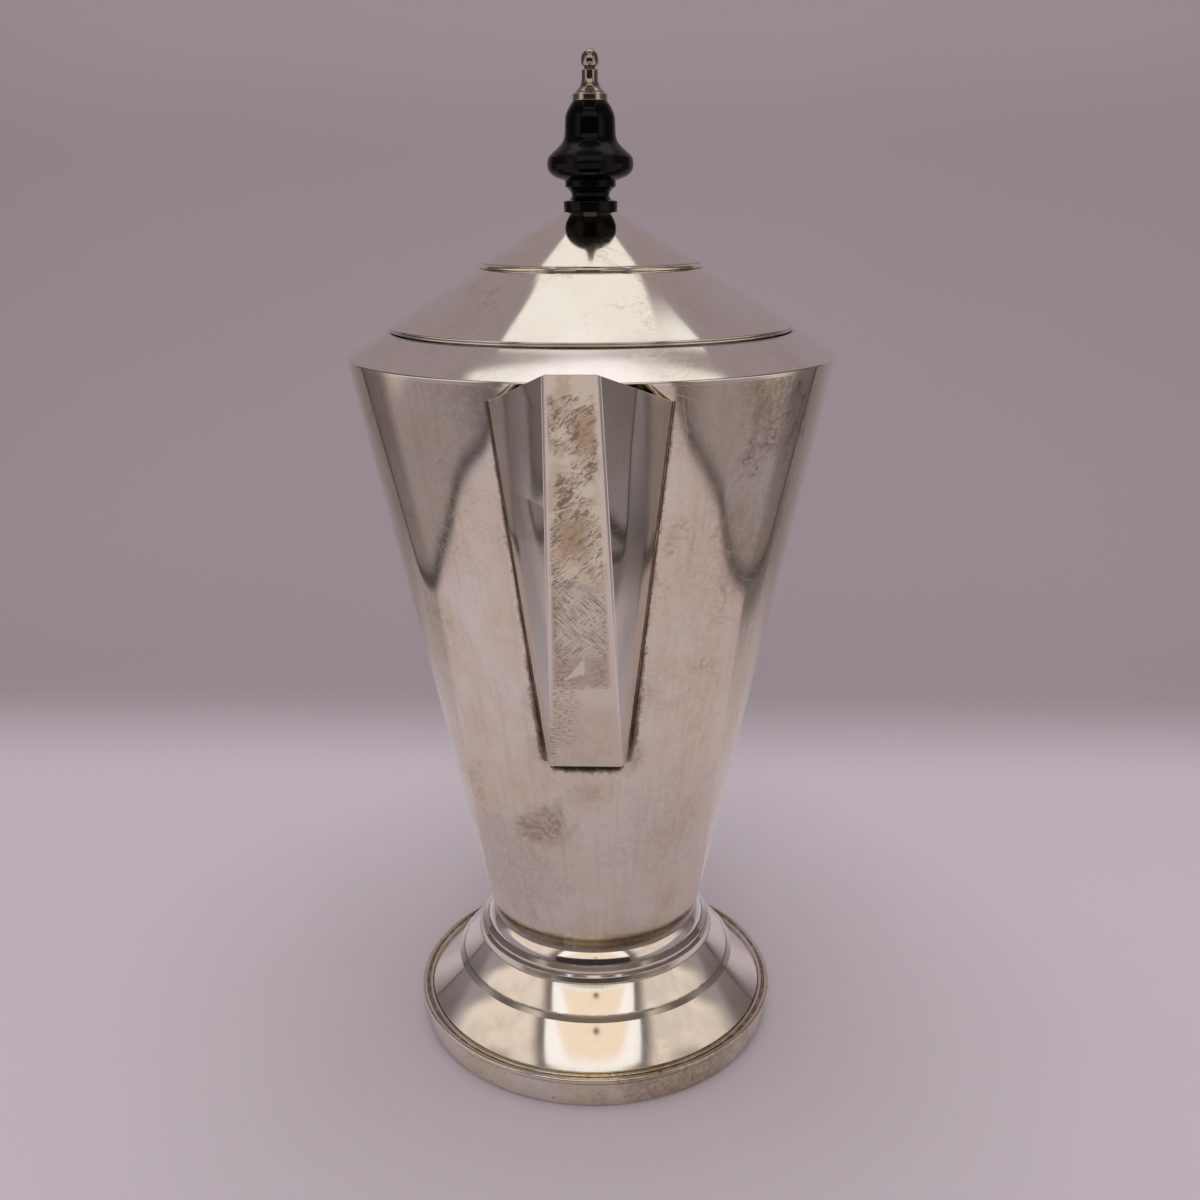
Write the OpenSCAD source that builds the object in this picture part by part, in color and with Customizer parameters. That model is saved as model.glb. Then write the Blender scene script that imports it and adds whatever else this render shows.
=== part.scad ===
// Coffee pot of silver plated sheet on a stepped foot, with a wedge spout, a hinged lid and black fittings.
// The axis of the pot is Z, the table is z = 0, the spout points to -Y and the handle to +Y.

/* [Body] */
// Outer radius of the body at its top edge
body_top_r = 64; // [60:0.5:68]
// Outer radius of the body where it stands on the foot
body_low_r = 30.5; // [28:0.5:34]
// Height of the conical body
body_h = 163.8; // [150:1:180]
// Thickness of the plated sheet
sheet = 1.1; // [0.9:0.1:1.4]
// Radius of a strainer hole behind the spout
strainer_hole_r = 1.8; // [1.4:0.1:2.2]
// Distance between neighbouring strainer holes
strainer_pitch = 6; // [5.4:0.1:6.4]

/* [Foot] */
// Radius of the foot band at its top
foot_r = 53; // [50:0.5:57]
// Height of the foot from the table to the body
foot_h = 34.5; // [32:0.5:38]
// Height of the band round the foot
band_h = 8.8; // [7.5:0.1:9.5]
// Width of the band's flange outside the dome
flange_w = 3.1; // [3:0.1:4.5]
// Distance of the step between the tiers outside the body's lower edge
tier_out = 11; // [9:0.1:12.5]
// Distance of the dome's top edge outside the body's lower edge
dome_out = 4.7; // [4:0.1:5.5]
// Height of the collar under the body
collar_h = 7.5; // [6.5:0.1:9]

/* [Shoulder and lid] */
// Width of the shoulder ring between the body's edge and the lid
shoulder_w = 10.6; // [10:0.1:12]
// Slope of the shoulder and the lid
roof_slope = 31; // [27:0.5:34]
// Open line between the shoulder and the edge of the lid
lid_gap = 0.8; // [0.6:0.1:1.2]
// Radius of the moulded line half way up the lid
lid_line_r = 28.9; // [24:0.5:33]
// Clearance between the lid's locating ring and the mouth of the pot
lid_clearance = 1; // [0.8:0.1:1.4]

/* [Spout] */
// Height of the lower end of the front strip
spout_low_z = 98.7; // [92:0.5:106]
// Distance the lower end of the strip stands out of the body
spout_proud = 1.9; // [1.5:0.1:3]
// Distance of the pouring lip from the axis
spout_reach = 94; // [88:0.5:100]
// Height of the pouring lip above the body's top edge
lip_rise = 5.8; // [3:0.1:8]
// Depth of the mouth's rear corners below the body's top edge
mouth_drop = 4.4; // [3.5:0.1:7]
// Width of the mouth where it meets the body
mouth_w = 41.4; // [37:0.2:45]
// Width of the front strip at its lower end
strip_low_w = 17.8; // [15:0.2:20]
// Width of the front strip at the lip
strip_lip_w = 10.4; // [8:0.2:13]

/* [Handle] */
// Depth of the upper arm below the body's top edge
handle_drop = 22.3; // [20:0.5:30]
// Height between the two arms of the handle
handle_span = 84; // [78:1:90]
// Room for the fingers between the body and the grip
finger_gap = 32; // [29:0.5:37]
// Thickness of the grip from side to side
grip_w = 13; // [11:0.5:15]
// Depth of the grip from front to back
grip_d = 18; // [16.5:0.5:20]
// Radius of the bends in the middle of the grip
grip_bend = 20; // [17:0.5:23]
// Length of a socket beyond the body
socket_len = 13; // [11:0.5:15]
// Depth of a grip end inside its socket
tenon_len = 9; // [7:0.5:10]
// Radius of a handle pin
handle_pin_r = 1.6; // [1.2:0.1:2]

/* [Hinge] */
// Outer radius of the hinge knuckles
knuckle_r = 3; // [2.7:0.1:3.3]
// Radius of the hinge pin
hinge_pin_r = 1.2; // [1:0.05:1.4]
// Width of the hinge over all its knuckles
hinge_w = 21.6; // [18:0.2:24]
// Length of the hinge's strap up the lid
strap_len = 11; // [8:0.5:14]

/* [Finial] */
// Greatest radius of the black knob
knob_r = 11.1; // [9.5:0.1:12.5]
// Height of the black knob
knob_h = 26.6; // [24:0.2:30]
// Radius of the metal tip's skirt
tip_r = 4.5; // [4.2:0.1:5]
// Height of the metal tip
tip_h = 12.2; // [11:0.2:14]
// Radius of the threaded rod through the knob
stud_r = 1.5; // [1.3:0.05:1.6]

/* [Hidden] */
$fn = 96;
// running clearance of the lid's knuckle on its pin
running = 0.05;
// clearance of plain fits inside one body
snug = 0.05;
// side clearance between neighbouring knuckles, and height of the lid's seat and strap above what they pass
free = 0.3;
// size of a block that reaches past everything
span = 600;

body_top_z = foot_h + body_h;
body_lean = atan((body_top_r - body_low_r) / body_h);
wall = sheet / cos(body_lean);
function body_r(z) = body_low_r + (z - foot_h) * (body_top_r - body_low_r) / body_h;

// foot
bead_r = 0.8;
band_lean = 1.3;
band_t = 2.1;
flange_z = band_h + bead_r / 4;
tier_low_r = foot_r - flange_w;
tier_r = body_low_r + tier_out;
tier_z = flange_z + (foot_h - flange_z) * 0.4;
tier_step = 1.35;
tier_hollow = 0.39;
dome_top_r = body_low_r + dome_out;
dome_top_z = foot_h - collar_h;
dome_t = sheet * 1.35;
ledge = dome_out / 3;
collar_bulge = 0.22;
collar_in_r = dome_top_r - dome_t - sheet;
function collar_z(share) = dome_top_z + share * collar_h;

// shoulder and lid
lip_h = 1;
rise = tan(roof_slope);
lid_r = body_top_r - shoulder_w;
shell_z = body_top_z - lip_h;
mouth_z = body_top_z + shoulder_w * rise;
lid_z = mouth_z + lid_gap;
roof_v = sheet / cos(roof_slope);
roof_h = sheet / sin(roof_slope);
bezel_t = 1.4;
bezel_depth = 9.5;
crown_r = knob_r * 0.635;
line_z = lid_z + (lid_r - lid_line_r) * rise;
line_step = 0.7;
line_h = 1;
upper_r = lid_line_r - line_step;
crown_z = line_z + line_h + (upper_r - crown_r) * rise;
plug_r = lid_r - bezel_t - lid_clearance;
plug_depth = 7;
seat_back = 0.5;
seat_r = lid_r - seat_back;

// spout
strip_foot = [0, -(body_r(spout_low_z) + spout_proud), spout_low_z];
lip = [0, -spout_reach, body_top_z + lip_rise];
run = lip - strip_foot;
strip_face = [0, -run.z, run.y] / norm(run);
edge_foot = strip_foot + [strip_low_w / 2, 0, 0];
edge_lip = lip + [strip_lip_w / 2, 0, 0];
corner_z = body_top_z - mouth_drop;
corner = [mouth_w / 2, -sqrt(pow(body_r(corner_z), 2) - pow(mouth_w / 2, 2)), corner_z];
cheek_cross = cross(corner - edge_foot, edge_lip - edge_foot);
cheek_face = cheek_cross / norm(cheek_cross);
mouth_line = [0, lip.y - corner.y, lip.z - corner.z];
mouth_face = [0, mouth_line.z, -mouth_line.y] / norm(mouth_line);
strainer_z = (spout_low_z + corner_z) / 2;

// handle
upper_z = body_top_z - handle_drop;
lower_z = upper_z - handle_span;
socket_t = 1.1;
// overlap of the straight stretches of the grip with its bends, and how much thinner they are
seam = 0.4;
seam_step = 0.02;
bend_z = upper_z - grip_bend;
grip_run = (handle_span - 2 * grip_bend) / cos(body_lean);
run_top_z = bend_z - grip_bend * sin(body_lean);
bend_y = body_r(run_top_z) + (finger_gap + grip_d / 2) / cos(body_lean) - grip_bend * cos(body_lean);
low_bend_y = bend_y - grip_run * sin(body_lean);
upper_end_y = body_r(upper_z) + socket_len;
lower_end_y = body_r(lower_z) + socket_len;

// hinge
hinge_back = 1.6;
hinge_lift = 1.1;
hinge_y = lid_r + knuckle_r + hinge_back;
hinge_z = lid_z + hinge_lift;
lid_knuckle_w = hinge_w * 0.42;
post_y = 2.6;
plate_t = 1.2;
pin_head_r = hinge_pin_r * 1.55;
pin_head_h = 0.7;
strap_t = 1.5;
strap_start = 2;
strap_low_r = lid_r - strap_start;
strap_top_r = strap_low_r - strap_len;
strap_low_z = lid_z + free;
function lid_face_z(r) = lid_z + (lid_r - r) * rise;

// finial
washer_t = 1;
nut_h = 2.4;
nut_flats = 3.7 * stud_r;
rod_out = 0.8;
stud_low_z = crown_z - roof_v - washer_t - nut_h - rod_out;
tip_z = crown_z + knob_h;
tip_hole = tip_h * 0.33;
ball_r = tip_h * 0.18;

// Points of a shallow arc from p to q that bows out by h to the right of the way from p to q.
function bow(p, q, h, n = 6) =
    let (d = q - p, l = norm(d), side = [d.y, -d.x] / l, r = (l * l / 4 + h * h) / (2 * h),
         mid = (p + q) / 2 + side * (h - r), half = asin(l / 2 / abs(r)))
    [for (i = [0 : n]) let (a = half * (2 * i / n - 1)) mid + side * r * cos(a) + d / l * abs(r) * sin(a)];

function shifted(points, by) = [for (p = points) p + by];
function turned_back(points) = [for (i = [len(points) - 1 : -1 : 0]) points[i]];

// A point of the knob and of the tip, as shares of their radius and height.
function on_knob(r, z) = [r * knob_r, crown_z + z * knob_h];
function on_tip(r, z) = [r * tip_r, tip_z + z * tip_h];

// Everything inside the outer face of the body, from top to bottom and past both ends.
module body_solid()
    cylinder(h = body_top_z * 1.2, r1 = body_r(0), r2 = body_r(body_top_z * 1.2));

// Everything under the outer face of the lid's lower cone.
module lid_solid()
    translate([0, 0, lid_z]) cylinder(h = lid_r * rise, r1 = lid_r, r2 = 0);

// Everything under the outer face of the shoulder ring.
module shoulder_solid()
    translate([0, 0, body_top_z]) cylinder(h = body_top_r * rise, r1 = body_top_r, r2 = 0);

// Block of a stated depth behind a plane, which passes through a point and faces out along a unit vector.
module behind(point, face, depth = span)
    translate(point) rotate([0, acos(face.z), atan2(face.y, face.x)])
        translate([-span / 2, -span / 2, -depth]) cube([span, span, depth]);

// Puts a drawing made in x and y into the plane of y and z, centred on x = 0.
module upright() rotate([90, 0, 90]) children();

module foot_rim_band() color("silver") rotate_extrude() {
    polygon([[foot_r - band_lean - band_t, 0], [foot_r - band_lean, 0], [foot_r, band_h],
             [foot_r, flange_z], [tier_low_r - dome_t, flange_z], [tier_low_r - dome_t, flange_z - sheet],
             [foot_r - band_t, flange_z - sheet]]);
    translate([foot_r - bead_r / 2, band_h]) circle(bead_r);
    translate([foot_r - 3 * bead_r, band_h]) circle(bead_r * 0.75);
}

module foot_dome() color("silver") rotate_extrude() {
    face = concat(bow([tier_low_r, flange_z], [tier_r, tier_z], -tier_hollow),
                  bow([tier_r - tier_step, tier_z + tier_step], [dome_top_r, dome_top_z], -tier_hollow / 2));
    polygon(concat(face, turned_back(shifted(face, [-dome_t, 0]))));
}

module foot_collar() color("silver") rotate_extrude()
    polygon(concat([[collar_in_r, dome_top_z], [dome_top_r - ledge / 12, dome_top_z],
                    [dome_top_r - ledge * 0.45, collar_z(0.24)], [dome_top_r - ledge, collar_z(0.32)],
                    [dome_top_r - ledge, collar_z(0.43)]],
                   bow([body_low_r + ledge * 1.17, collar_z(0.58)], [body_low_r, foot_h], collar_bulge),
                   [[body_low_r - wall, foot_h],
                    [body_low_r - wall, collar_z(0.6)], [collar_in_r, collar_z(0.1)]]));

module body_shell() color("silver") difference() {
    rotate_extrude() polygon([[body_low_r - wall, foot_h], [body_low_r, foot_h],
                              [body_r(shell_z), shell_z], [body_r(shell_z) - wall, shell_z]]);
    for (i = [-2 : 2]) for (k = [-2 : 2]) if (abs(i + k) <= 2)
        translate([(i + k / 2) * strainer_pitch, 0, strainer_z + k * strainer_pitch * sin(60)])
            rotate([90, 0, 0]) cylinder(h = body_top_r, r = strainer_hole_r);
}

module body_floor() color("silver") translate([0, 0, foot_h])
    cylinder(h = sheet, r1 = body_r(foot_h) - wall, r2 = body_r(foot_h + sheet) - wall);

module shoulder_ring() color("silver") rotate_extrude()
    polygon([[body_r(shell_z), shell_z], [body_top_r, body_top_z], [lid_r, mouth_z],
             [lid_r, mouth_z - roof_v], [body_r(shell_z) - wall, shell_z]]);

module rim_bezel() color("silver") rotate_extrude()
    translate([lid_r - bezel_t, mouth_z - bezel_depth]) square([bezel_t, bezel_depth]);

// The part of the wedge that lies in front of the axis, under the mouth's plane and above the strip's foot.
module spout_reach_block() intersection() {
    translate([-span / 2, -span - body_low_r / 4, spout_low_z]) cube([span, span, span]);
    behind(lip, mouth_face);
}

module spout_right_side() difference() {
    intersection() {
        behind(edge_foot, cheek_face, sheet);
        behind(strip_foot - strip_face * sheet, strip_face);
        spout_reach_block();
    }
    body_solid();
}

module spout_right_cheek() color("silver") spout_right_side();

module spout_left_cheek() color("silver") mirror([1, 0, 0]) spout_right_side();

module spout_front_strip() color("silver") {
    intersection() {
        behind(strip_foot, strip_face, sheet);
        behind(edge_foot, cheek_face);
        mirror([1, 0, 0]) behind(edge_foot, cheek_face);
        spout_reach_block();
    }
    difference() {
        intersection() {
            behind(strip_foot - strip_face * sheet / 2, strip_face);
            behind(edge_foot - cheek_face * sheet, cheek_face);
            mirror([1, 0, 0]) behind(edge_foot - cheek_face * sheet, cheek_face);
            translate([-span / 2, -span - body_low_r / 4, spout_low_z]) cube([span, span, sheet]);
        }
        body_solid();
    }
}

// Section of the grip, flat sided with half round edges; its depth lies along y.
module grip_section(grow = 0) {
    edge = (grip_d - grip_w) / 2;
    for (s = [-1, 1]) translate([0, s * edge]) circle(grip_w / 2 + grow);
    translate([-grip_w / 2 - grow, -edge]) square([grip_w + 2 * grow, 2 * edge]);
}

// Straight stretch of a handle section that runs along +Y from y0 to y1 at height z.
module arm(y0, y1, z, grow = 0)
    translate([0, y0, z]) rotate([-90, 0, 0]) linear_extrude(y1 - y0) grip_section(grow);

// Bend of the grip about a point in y and z, from one angle to another.
module bend(y, z, from, to) upright() translate([y, z]) rotate(from)
    rotate_extrude(angle = to - from) translate([grip_bend, 0]) rotate(90) grip_section();

module handle_pin_at(y, z, r) translate([0, y, z]) rotate([0, 90, 0])
    cylinder(h = grip_w + 2 * socket_t, r = r, center = true);

module socket(end_y, z) difference() {
    arm(0, end_y, z, socket_t);
    body_solid();
    arm(end_y - tenon_len, end_y + 1, z, snug);
    handle_pin_at(end_y - tenon_len / 2, z, handle_pin_r);
}

module handle_upper_socket() color("silver") socket(upper_end_y, upper_z);

module handle_lower_socket() color("silver") socket(lower_end_y, lower_z);

module handle_grip() color("black") difference() {
    union() {
        arm(upper_end_y - tenon_len, bend_y + seam, upper_z, -seam_step);
        bend(bend_y, bend_z, -body_lean, 90);
        translate([0, bend_y + grip_bend * cos(body_lean), run_top_z]) rotate([-body_lean, 0, 0])
            translate([0, 0, -grip_run - seam]) linear_extrude(grip_run + 2 * seam) grip_section(-seam_step);
        bend(low_bend_y, lower_z + grip_bend, -90, -body_lean);
        arm(lower_end_y - tenon_len, low_bend_y + seam, lower_z, -seam_step);
    }
    handle_pin_at(upper_end_y - tenon_len / 2, upper_z, handle_pin_r);
    handle_pin_at(lower_end_y - tenon_len / 2, lower_z, handle_pin_r);
}

module handle_pins() color("silver") {
    handle_pin_at(upper_end_y - tenon_len / 2, upper_z, handle_pin_r);
    handle_pin_at(lower_end_y - tenon_len / 2, lower_z, handle_pin_r);
}

// Bar along X on the axis of the hinge.
module hinge_bar(r, w) translate([0, hinge_y, hinge_z]) rotate([0, 90, 0])
    cylinder(h = w, r = r, center = true);

module hinge_fixed_leaf() color("silver") difference() {
    union() {
        hinge_bar(knuckle_r, hinge_w);
        translate([-hinge_w / 2, hinge_y - post_y, body_top_z])
            cube([hinge_w, post_y + knuckle_r + free + plate_t, hinge_z - body_top_z]);
    }
    shoulder_solid();
    translate([-lid_knuckle_w / 2 - free, hinge_y - span + knuckle_r + free, body_top_z])
        cube([lid_knuckle_w + 2 * free, span, span]);
    hinge_bar(hinge_pin_r, hinge_w + 1);
}

module hinge_pin() color("silver") {
    hinge_bar(hinge_pin_r, hinge_w);
    for (s = [-1, 1]) translate([s * (hinge_w + pin_head_h) / 2, 0, 0]) hinge_bar(pin_head_r, pin_head_h);
}

module lid_shell() color("silver") rotate_extrude() {
    polygon([[lid_r, lid_z], [lid_line_r, line_z], [upper_r, line_z + line_h], [crown_r, crown_z],
             [stud_r + snug, crown_z], [stud_r + snug, crown_z - roof_v], [crown_r, crown_z - roof_v],
             [upper_r, line_z + line_h - roof_v], [lid_line_r, line_z - roof_v], [lid_r - roof_h, lid_z]]);
    translate([upper_r + line_step / 2, line_z + line_h / 2]) circle(line_h * 0.6);
}

module lid_bezel() color("silver") rotate_extrude() {
    inside_r = plug_r - bezel_t;
    polygon([[inside_r, lid_z - plug_depth], [plug_r, lid_z - plug_depth], [plug_r, lid_z - lid_gap + free],
             [seat_r, lid_z - lid_gap + free], [seat_r, lid_z], [inside_r, lid_z]]);
}

module lid_hinge_leaf() color("silver") difference() {
    union() {
        hinge_bar(knuckle_r, lid_knuckle_w);
        upright() translate([0, 0, -lid_knuckle_w / 2]) linear_extrude(lid_knuckle_w)
            polygon([[hinge_y, hinge_z + knuckle_r], [strap_low_r, lid_face_z(strap_low_r) + strap_t],
                     [strap_top_r, lid_face_z(strap_top_r) + strap_t * 0.6],
                     [strap_top_r, strap_low_z], [hinge_y, strap_low_z]]);
    }
    lid_solid();
    hinge_bar(hinge_pin_r + running, hinge_w);
}

module finial_knob() color("black") difference() {
    rotate_extrude() polygon(concat(
        [on_knob(0, 0), on_knob(0.628, 0), on_knob(0.628, 0.098)],
        bow(on_knob(0.5, 0.105), on_knob(0.54, 0.213), -0.065 * knob_r),
        [on_knob(0.587, 0.23), on_knob(0.587, 0.285)],
        bow(on_knob(0.62, 0.29), on_knob(1, 0.425), 0.11 * knob_r),
        bow(on_knob(1, 0.435), on_knob(0.8, 0.565), 0.06 * knob_r),
        bow(on_knob(0.79, 0.57), on_knob(0.583, 0.735), -0.05 * knob_r),
        bow(on_knob(0.575, 0.83), on_knob(0.388, 1), 0.035 * knob_r),
        [on_knob(0, 1)]));
    translate([0, 0, crown_z - 1]) cylinder(h = knob_h + 2, r = stud_r + snug);
}

module finial_tip() color("silver") difference() {
    rotate_extrude() {
        polygon(concat([on_tip(0, 0), on_tip(1, 0), on_tip(1, 0.115)],
                       bow(on_tip(0.93, 0.145), on_tip(0.46, 0.44), -0.13 * tip_r),
                       [on_tip(0.46, 0.6), on_tip(0.3, 0.62), on_tip(0.3, 0.7), on_tip(0, 0.7)]));
        translate([0, tip_z + tip_h - ball_r]) intersection() {
            circle(ball_r);
            translate([0, -ball_r]) square([ball_r, 2 * ball_r]);
        }
    }
    translate([0, 0, tip_z - 1]) cylinder(h = tip_hole + 1, r = stud_r);
}

module finial_stud() color("silver") translate([0, 0, stud_low_z])
    cylinder(h = tip_z + tip_hole - stud_low_z, r = stud_r);

module finial_washer() color("silver") translate([0, 0, crown_z - roof_v - washer_t]) difference() {
    cylinder(h = washer_t, r = 3.2 * stud_r);
    translate([0, 0, -1]) cylinder(h = washer_t + 2, r = stud_r + snug);
}

module finial_nut() color("silver") translate([0, 0, crown_z - roof_v - washer_t - nut_h]) difference() {
    cylinder(h = nut_h, r = nut_flats / 2 / cos(30), $fn = 6);
    translate([0, 0, -1]) cylinder(h = nut_h + 2, r = stud_r);
}

foot_rim_band();
foot_dome();
foot_collar();
body_shell();
body_floor();
shoulder_ring();
rim_bezel();
spout_left_cheek();
spout_right_cheek();
spout_front_strip();
handle_upper_socket();
handle_lower_socket();
handle_grip();
handle_pins();
hinge_fixed_leaf();
hinge_pin();
lid_shell();
lid_bezel();
lid_hinge_leaf();
finial_knob();
finial_tip();
finial_stud();
finial_washer();
finial_nut();
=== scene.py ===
import math
from collections import namedtuple
from functools import reduce
from math import cos, pi, radians, sin

import bmesh
import bpy
import numpy as np
from mathutils import Matrix, Vector
from mathutils.geometry import delaunay_2d_cdt


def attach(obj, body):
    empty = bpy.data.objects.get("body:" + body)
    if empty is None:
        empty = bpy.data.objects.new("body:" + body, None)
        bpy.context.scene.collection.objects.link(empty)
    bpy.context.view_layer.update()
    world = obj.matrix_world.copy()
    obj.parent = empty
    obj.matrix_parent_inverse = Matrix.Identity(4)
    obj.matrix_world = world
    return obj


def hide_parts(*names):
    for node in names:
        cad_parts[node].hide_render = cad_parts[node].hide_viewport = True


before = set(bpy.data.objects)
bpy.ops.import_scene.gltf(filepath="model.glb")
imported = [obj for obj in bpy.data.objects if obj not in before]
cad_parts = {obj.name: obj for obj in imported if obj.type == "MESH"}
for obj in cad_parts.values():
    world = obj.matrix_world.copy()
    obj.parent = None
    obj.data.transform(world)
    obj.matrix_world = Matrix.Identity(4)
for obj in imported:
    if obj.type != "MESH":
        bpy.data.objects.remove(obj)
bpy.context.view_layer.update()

# Sizes in millimetres, the same as the solids'.
MM, TO_MM = 0.001, 1000.0
SEG = 288
SHEET = 1.1
BODY_LOW_R, BODY_LOW_Z, BODY_TOP_R, BODY_TOP_Z = 30.5, 34.5, 64.0, 198.3
LEAN = (BODY_TOP_R - BODY_LOW_R) / (BODY_TOP_Z - BODY_LOW_Z)
WALL = SHEET * math.hypot(1, LEAN)
SHELL_Z = 197.3
ROOF = radians(31)
RISE = math.tan(ROOF)
ROOF_V, ROOF_H = SHEET / cos(ROOF), SHEET / sin(ROOF)
LID_R, MOUTH_Z, LID_Z, LID_TOP_Z = 53.4, 204.669, 205.469, 233.9
HINGE_Y, HINGE_Z, KNUCKLE_R = 58.0, 206.569, 3.0
TOE_Y, TOE_Z, TOE_HALF = -45.531, 98.7, 8.9
LIP_Y, LIP_Z, LIP_HALF = -94.0, 204.1, 5.2
CORNER_X, CORNER_Z = 20.7, 193.9


def body_r(z):
    return BODY_LOW_R + (z - BODY_LOW_Z) * LEAN


def unit(v):
    v = np.asarray(v, float)
    return v / np.linalg.norm(v)


# Mesh helpers
SOFT_TURN = radians(16)
LONG_SIDE = 2.5


def rounded(corners, radius, steps=6, closed=True):
    """Corners (r, z[, radius]) of an outline, counter-clockwise, as rows r, z, normal r, normal z, edge.
    Edge is 1 on the crest of a rounded corner and -1 in a hollow one."""
    out, n = [], len(corners)
    for i, c in enumerate(corners):
        p = np.array(c[:2], float)
        d1 = p - np.array(corners[i - 1][:2], float)
        d2 = np.array(corners[(i + 1) % n][:2], float) - p
        if not closed and i == 0:
            d1 = d2
        if not closed and i == n - 1:
            d2 = d1
        l1, l2 = np.linalg.norm(d1), np.linalg.norm(d2)
        d1, d2 = d1 / l1, d2 / l2
        n1 = np.array([d1[1], -d1[0]])
        n2 = np.array([d2[1], -d2[0]])
        turn = math.atan2(d1[0] * d2[1] - d1[1] * d2[0], d1 @ d2)
        if abs(turn) < SOFT_TURN and len(c) < 3:
            out.append((*p, *unit(n1 + n2), 0.0))
            continue
        rad = c[2] if len(c) > 2 else radius
        half = math.tan(abs(turn) / 2)
        t = min(rad * half, 0.48 * l1, 0.48 * l2)
        rad = math.copysign(t / half, turn)
        centre = p - d1 * t - rad * n1
        for k in range(steps + 1):
            a = turn * k / steps
            nk = np.array([n1[0] * cos(a) - n1[1] * sin(a), n1[0] * sin(a) + n1[1] * cos(a)])
            weight = 0.55 + 0.45 * sin(pi * k / steps)
            out.append((*(centre + rad * nk), *nk, math.copysign(weight, turn)))
    rows, m = [], len(out)
    for i, a in enumerate(out):
        rows.append(a)
        if not closed and i == m - 1:
            break
        b = out[(i + 1) % m]
        d = np.array(b[:2]) - np.array(a[:2])
        length = np.linalg.norm(d)
        if length > LONG_SIDE:
            d = d / length
            for s, e in ((0.25, 0.55 * a[4]), (0.9, 0.0), (length - 0.9, 0.0), (length - 0.25, 0.55 * b[4])):
                rows.append((a[0] + d[0] * s, a[1] + d[1] * s, d[1], -d[0], e))
    return rows


def arc(cr, cz, r, a0, a1, n):
    turns = [radians(a) for a in np.linspace(a0, a1, n)]
    return [(cr + r * cos(t), cz + r * sin(t)) for t in turns]


def bow(p, q, h, n=10):
    """Points of a shallow arc from p to q that bows out by h to the right of the way."""
    p, q = np.array(p, float), np.array(q, float)
    d = q - p
    side = np.array([d[1], -d[0]]) / np.linalg.norm(d)
    return [tuple(p + d * t + side * h * 4 * t * (1 - t)) for t in np.linspace(0, 1, n)]


def add_object(name, data):
    obj = bpy.data.objects.new(name, data)
    bpy.context.scene.collection.objects.link(obj)
    return obj


def smooth(mesh):
    mesh.polygons.foreach_set("use_smooth", [True] * len(mesh.polygons))


def set_edge(mesh, weights):
    attribute = mesh.attributes.new("edge", "FLOAT", "POINT")
    attribute.data.foreach_set("value", np.asarray(weights, np.float32))


def make(name, verts, faces, normals=None, edge=None):
    """A smooth mesh object; verts are in millimetres."""
    mesh = bpy.data.meshes.new(name)
    mesh.from_pydata([tuple(float(x) * MM for x in v) for v in verts], [], faces)
    smooth(mesh)
    if edge is not None:
        set_edge(mesh, edge)
    if normals is not None:
        mesh.normals_split_custom_set_from_vertices([tuple(map(float, v)) for v in normals])
    return add_object(name, mesh)


def lathe_data(rows, seg, closed, keep=None):
    """Verts, faces, normals and edge weights of rows turned about Z; keep(i, k) says which faces stay."""
    verts, normals, edge, index = [], [], [], []
    for r, z, nr, nz, e in rows:
        if r < 1e-6:
            index.append([len(verts)] * seg)
            verts.append((0, 0, z))
            normals.append((0, 0, 1 if nz >= 0 else -1))
            edge.append(e)
            continue
        index.append(list(range(len(verts), len(verts) + seg)))
        for k in range(seg):
            a = 2 * pi * k / seg
            s, c = sin(a), cos(a)
            verts.append((r * s, -r * c, z))
            normals.append((nr * s, -nr * c, nz))
            edge.append(e)
    faces, m = [], len(rows)
    for i in range(m if closed else m - 1):
        a, b = index[i], index[(i + 1) % m]
        for k in range(seg):
            if keep and not keep(i, k):
                continue
            face = [a[k], a[(k + 1) % seg], b[(k + 1) % seg], b[k]]
            face = [v for j, v in enumerate(face) if v != face[j - 1]]
            if len(face) > 2:
                faces.append(face)
    return verts, faces, normals, edge, index


def lathe(name, rows, seg=SEG, closed=True):
    verts, faces, normals, edge, _ = lathe_data(rows, seg, closed)
    return make(name, verts, faces, normals, edge)


def quads(rows, cols, closed=False):
    """Faces of a grid of points; closed joins the ends of each row."""
    return [[i * cols + k, i * cols + (k + 1) % cols, (i + 1) * cols + (k + 1) % cols, (i + 1) * cols + k]
            for i in range(rows - 1) for k in range(cols if closed else cols - 1)]


def loft(rings, caps=False):
    """Verts and faces through rings of equal length."""
    n = len(rings[0])
    verts = [p for ring in rings for p in ring]
    faces = quads(len(rings), n, True)
    if caps:
        faces += [list(range(n))[::-1], list(range((len(rings) - 1) * n, len(rings) * n))]
    return verts, faces


SHARP = radians(25)


def bevelled(name, solids, width, segments):
    """One object of closed solids (verts, faces) with rounded edges and flat faces."""
    bm = bmesh.new()
    for verts, faces in solids:
        made = [bm.verts.new([float(x) * MM for x in v]) for v in verts]
        for f in faces:
            bm.faces.new([made[i] for i in f])
    bmesh.ops.recalc_face_normals(bm, faces=bm.faces)
    sharp = [e for e in bm.edges if len(e.link_faces) == 2 and e.calc_face_angle(0) > SHARP]
    bmesh.ops.bevel(bm, geom=sharp, offset=width * MM, segments=segments, profile=0.5, affect="EDGES",
                    clamp_overlap=True)
    mesh = bpy.data.meshes.new(name)
    bm.to_mesh(mesh)
    bm.free()
    smooth(mesh)
    obj = add_object(name, mesh)
    obj.modifiers.new("normals", "WEIGHTED_NORMAL").weight = 100
    return obj


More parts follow.
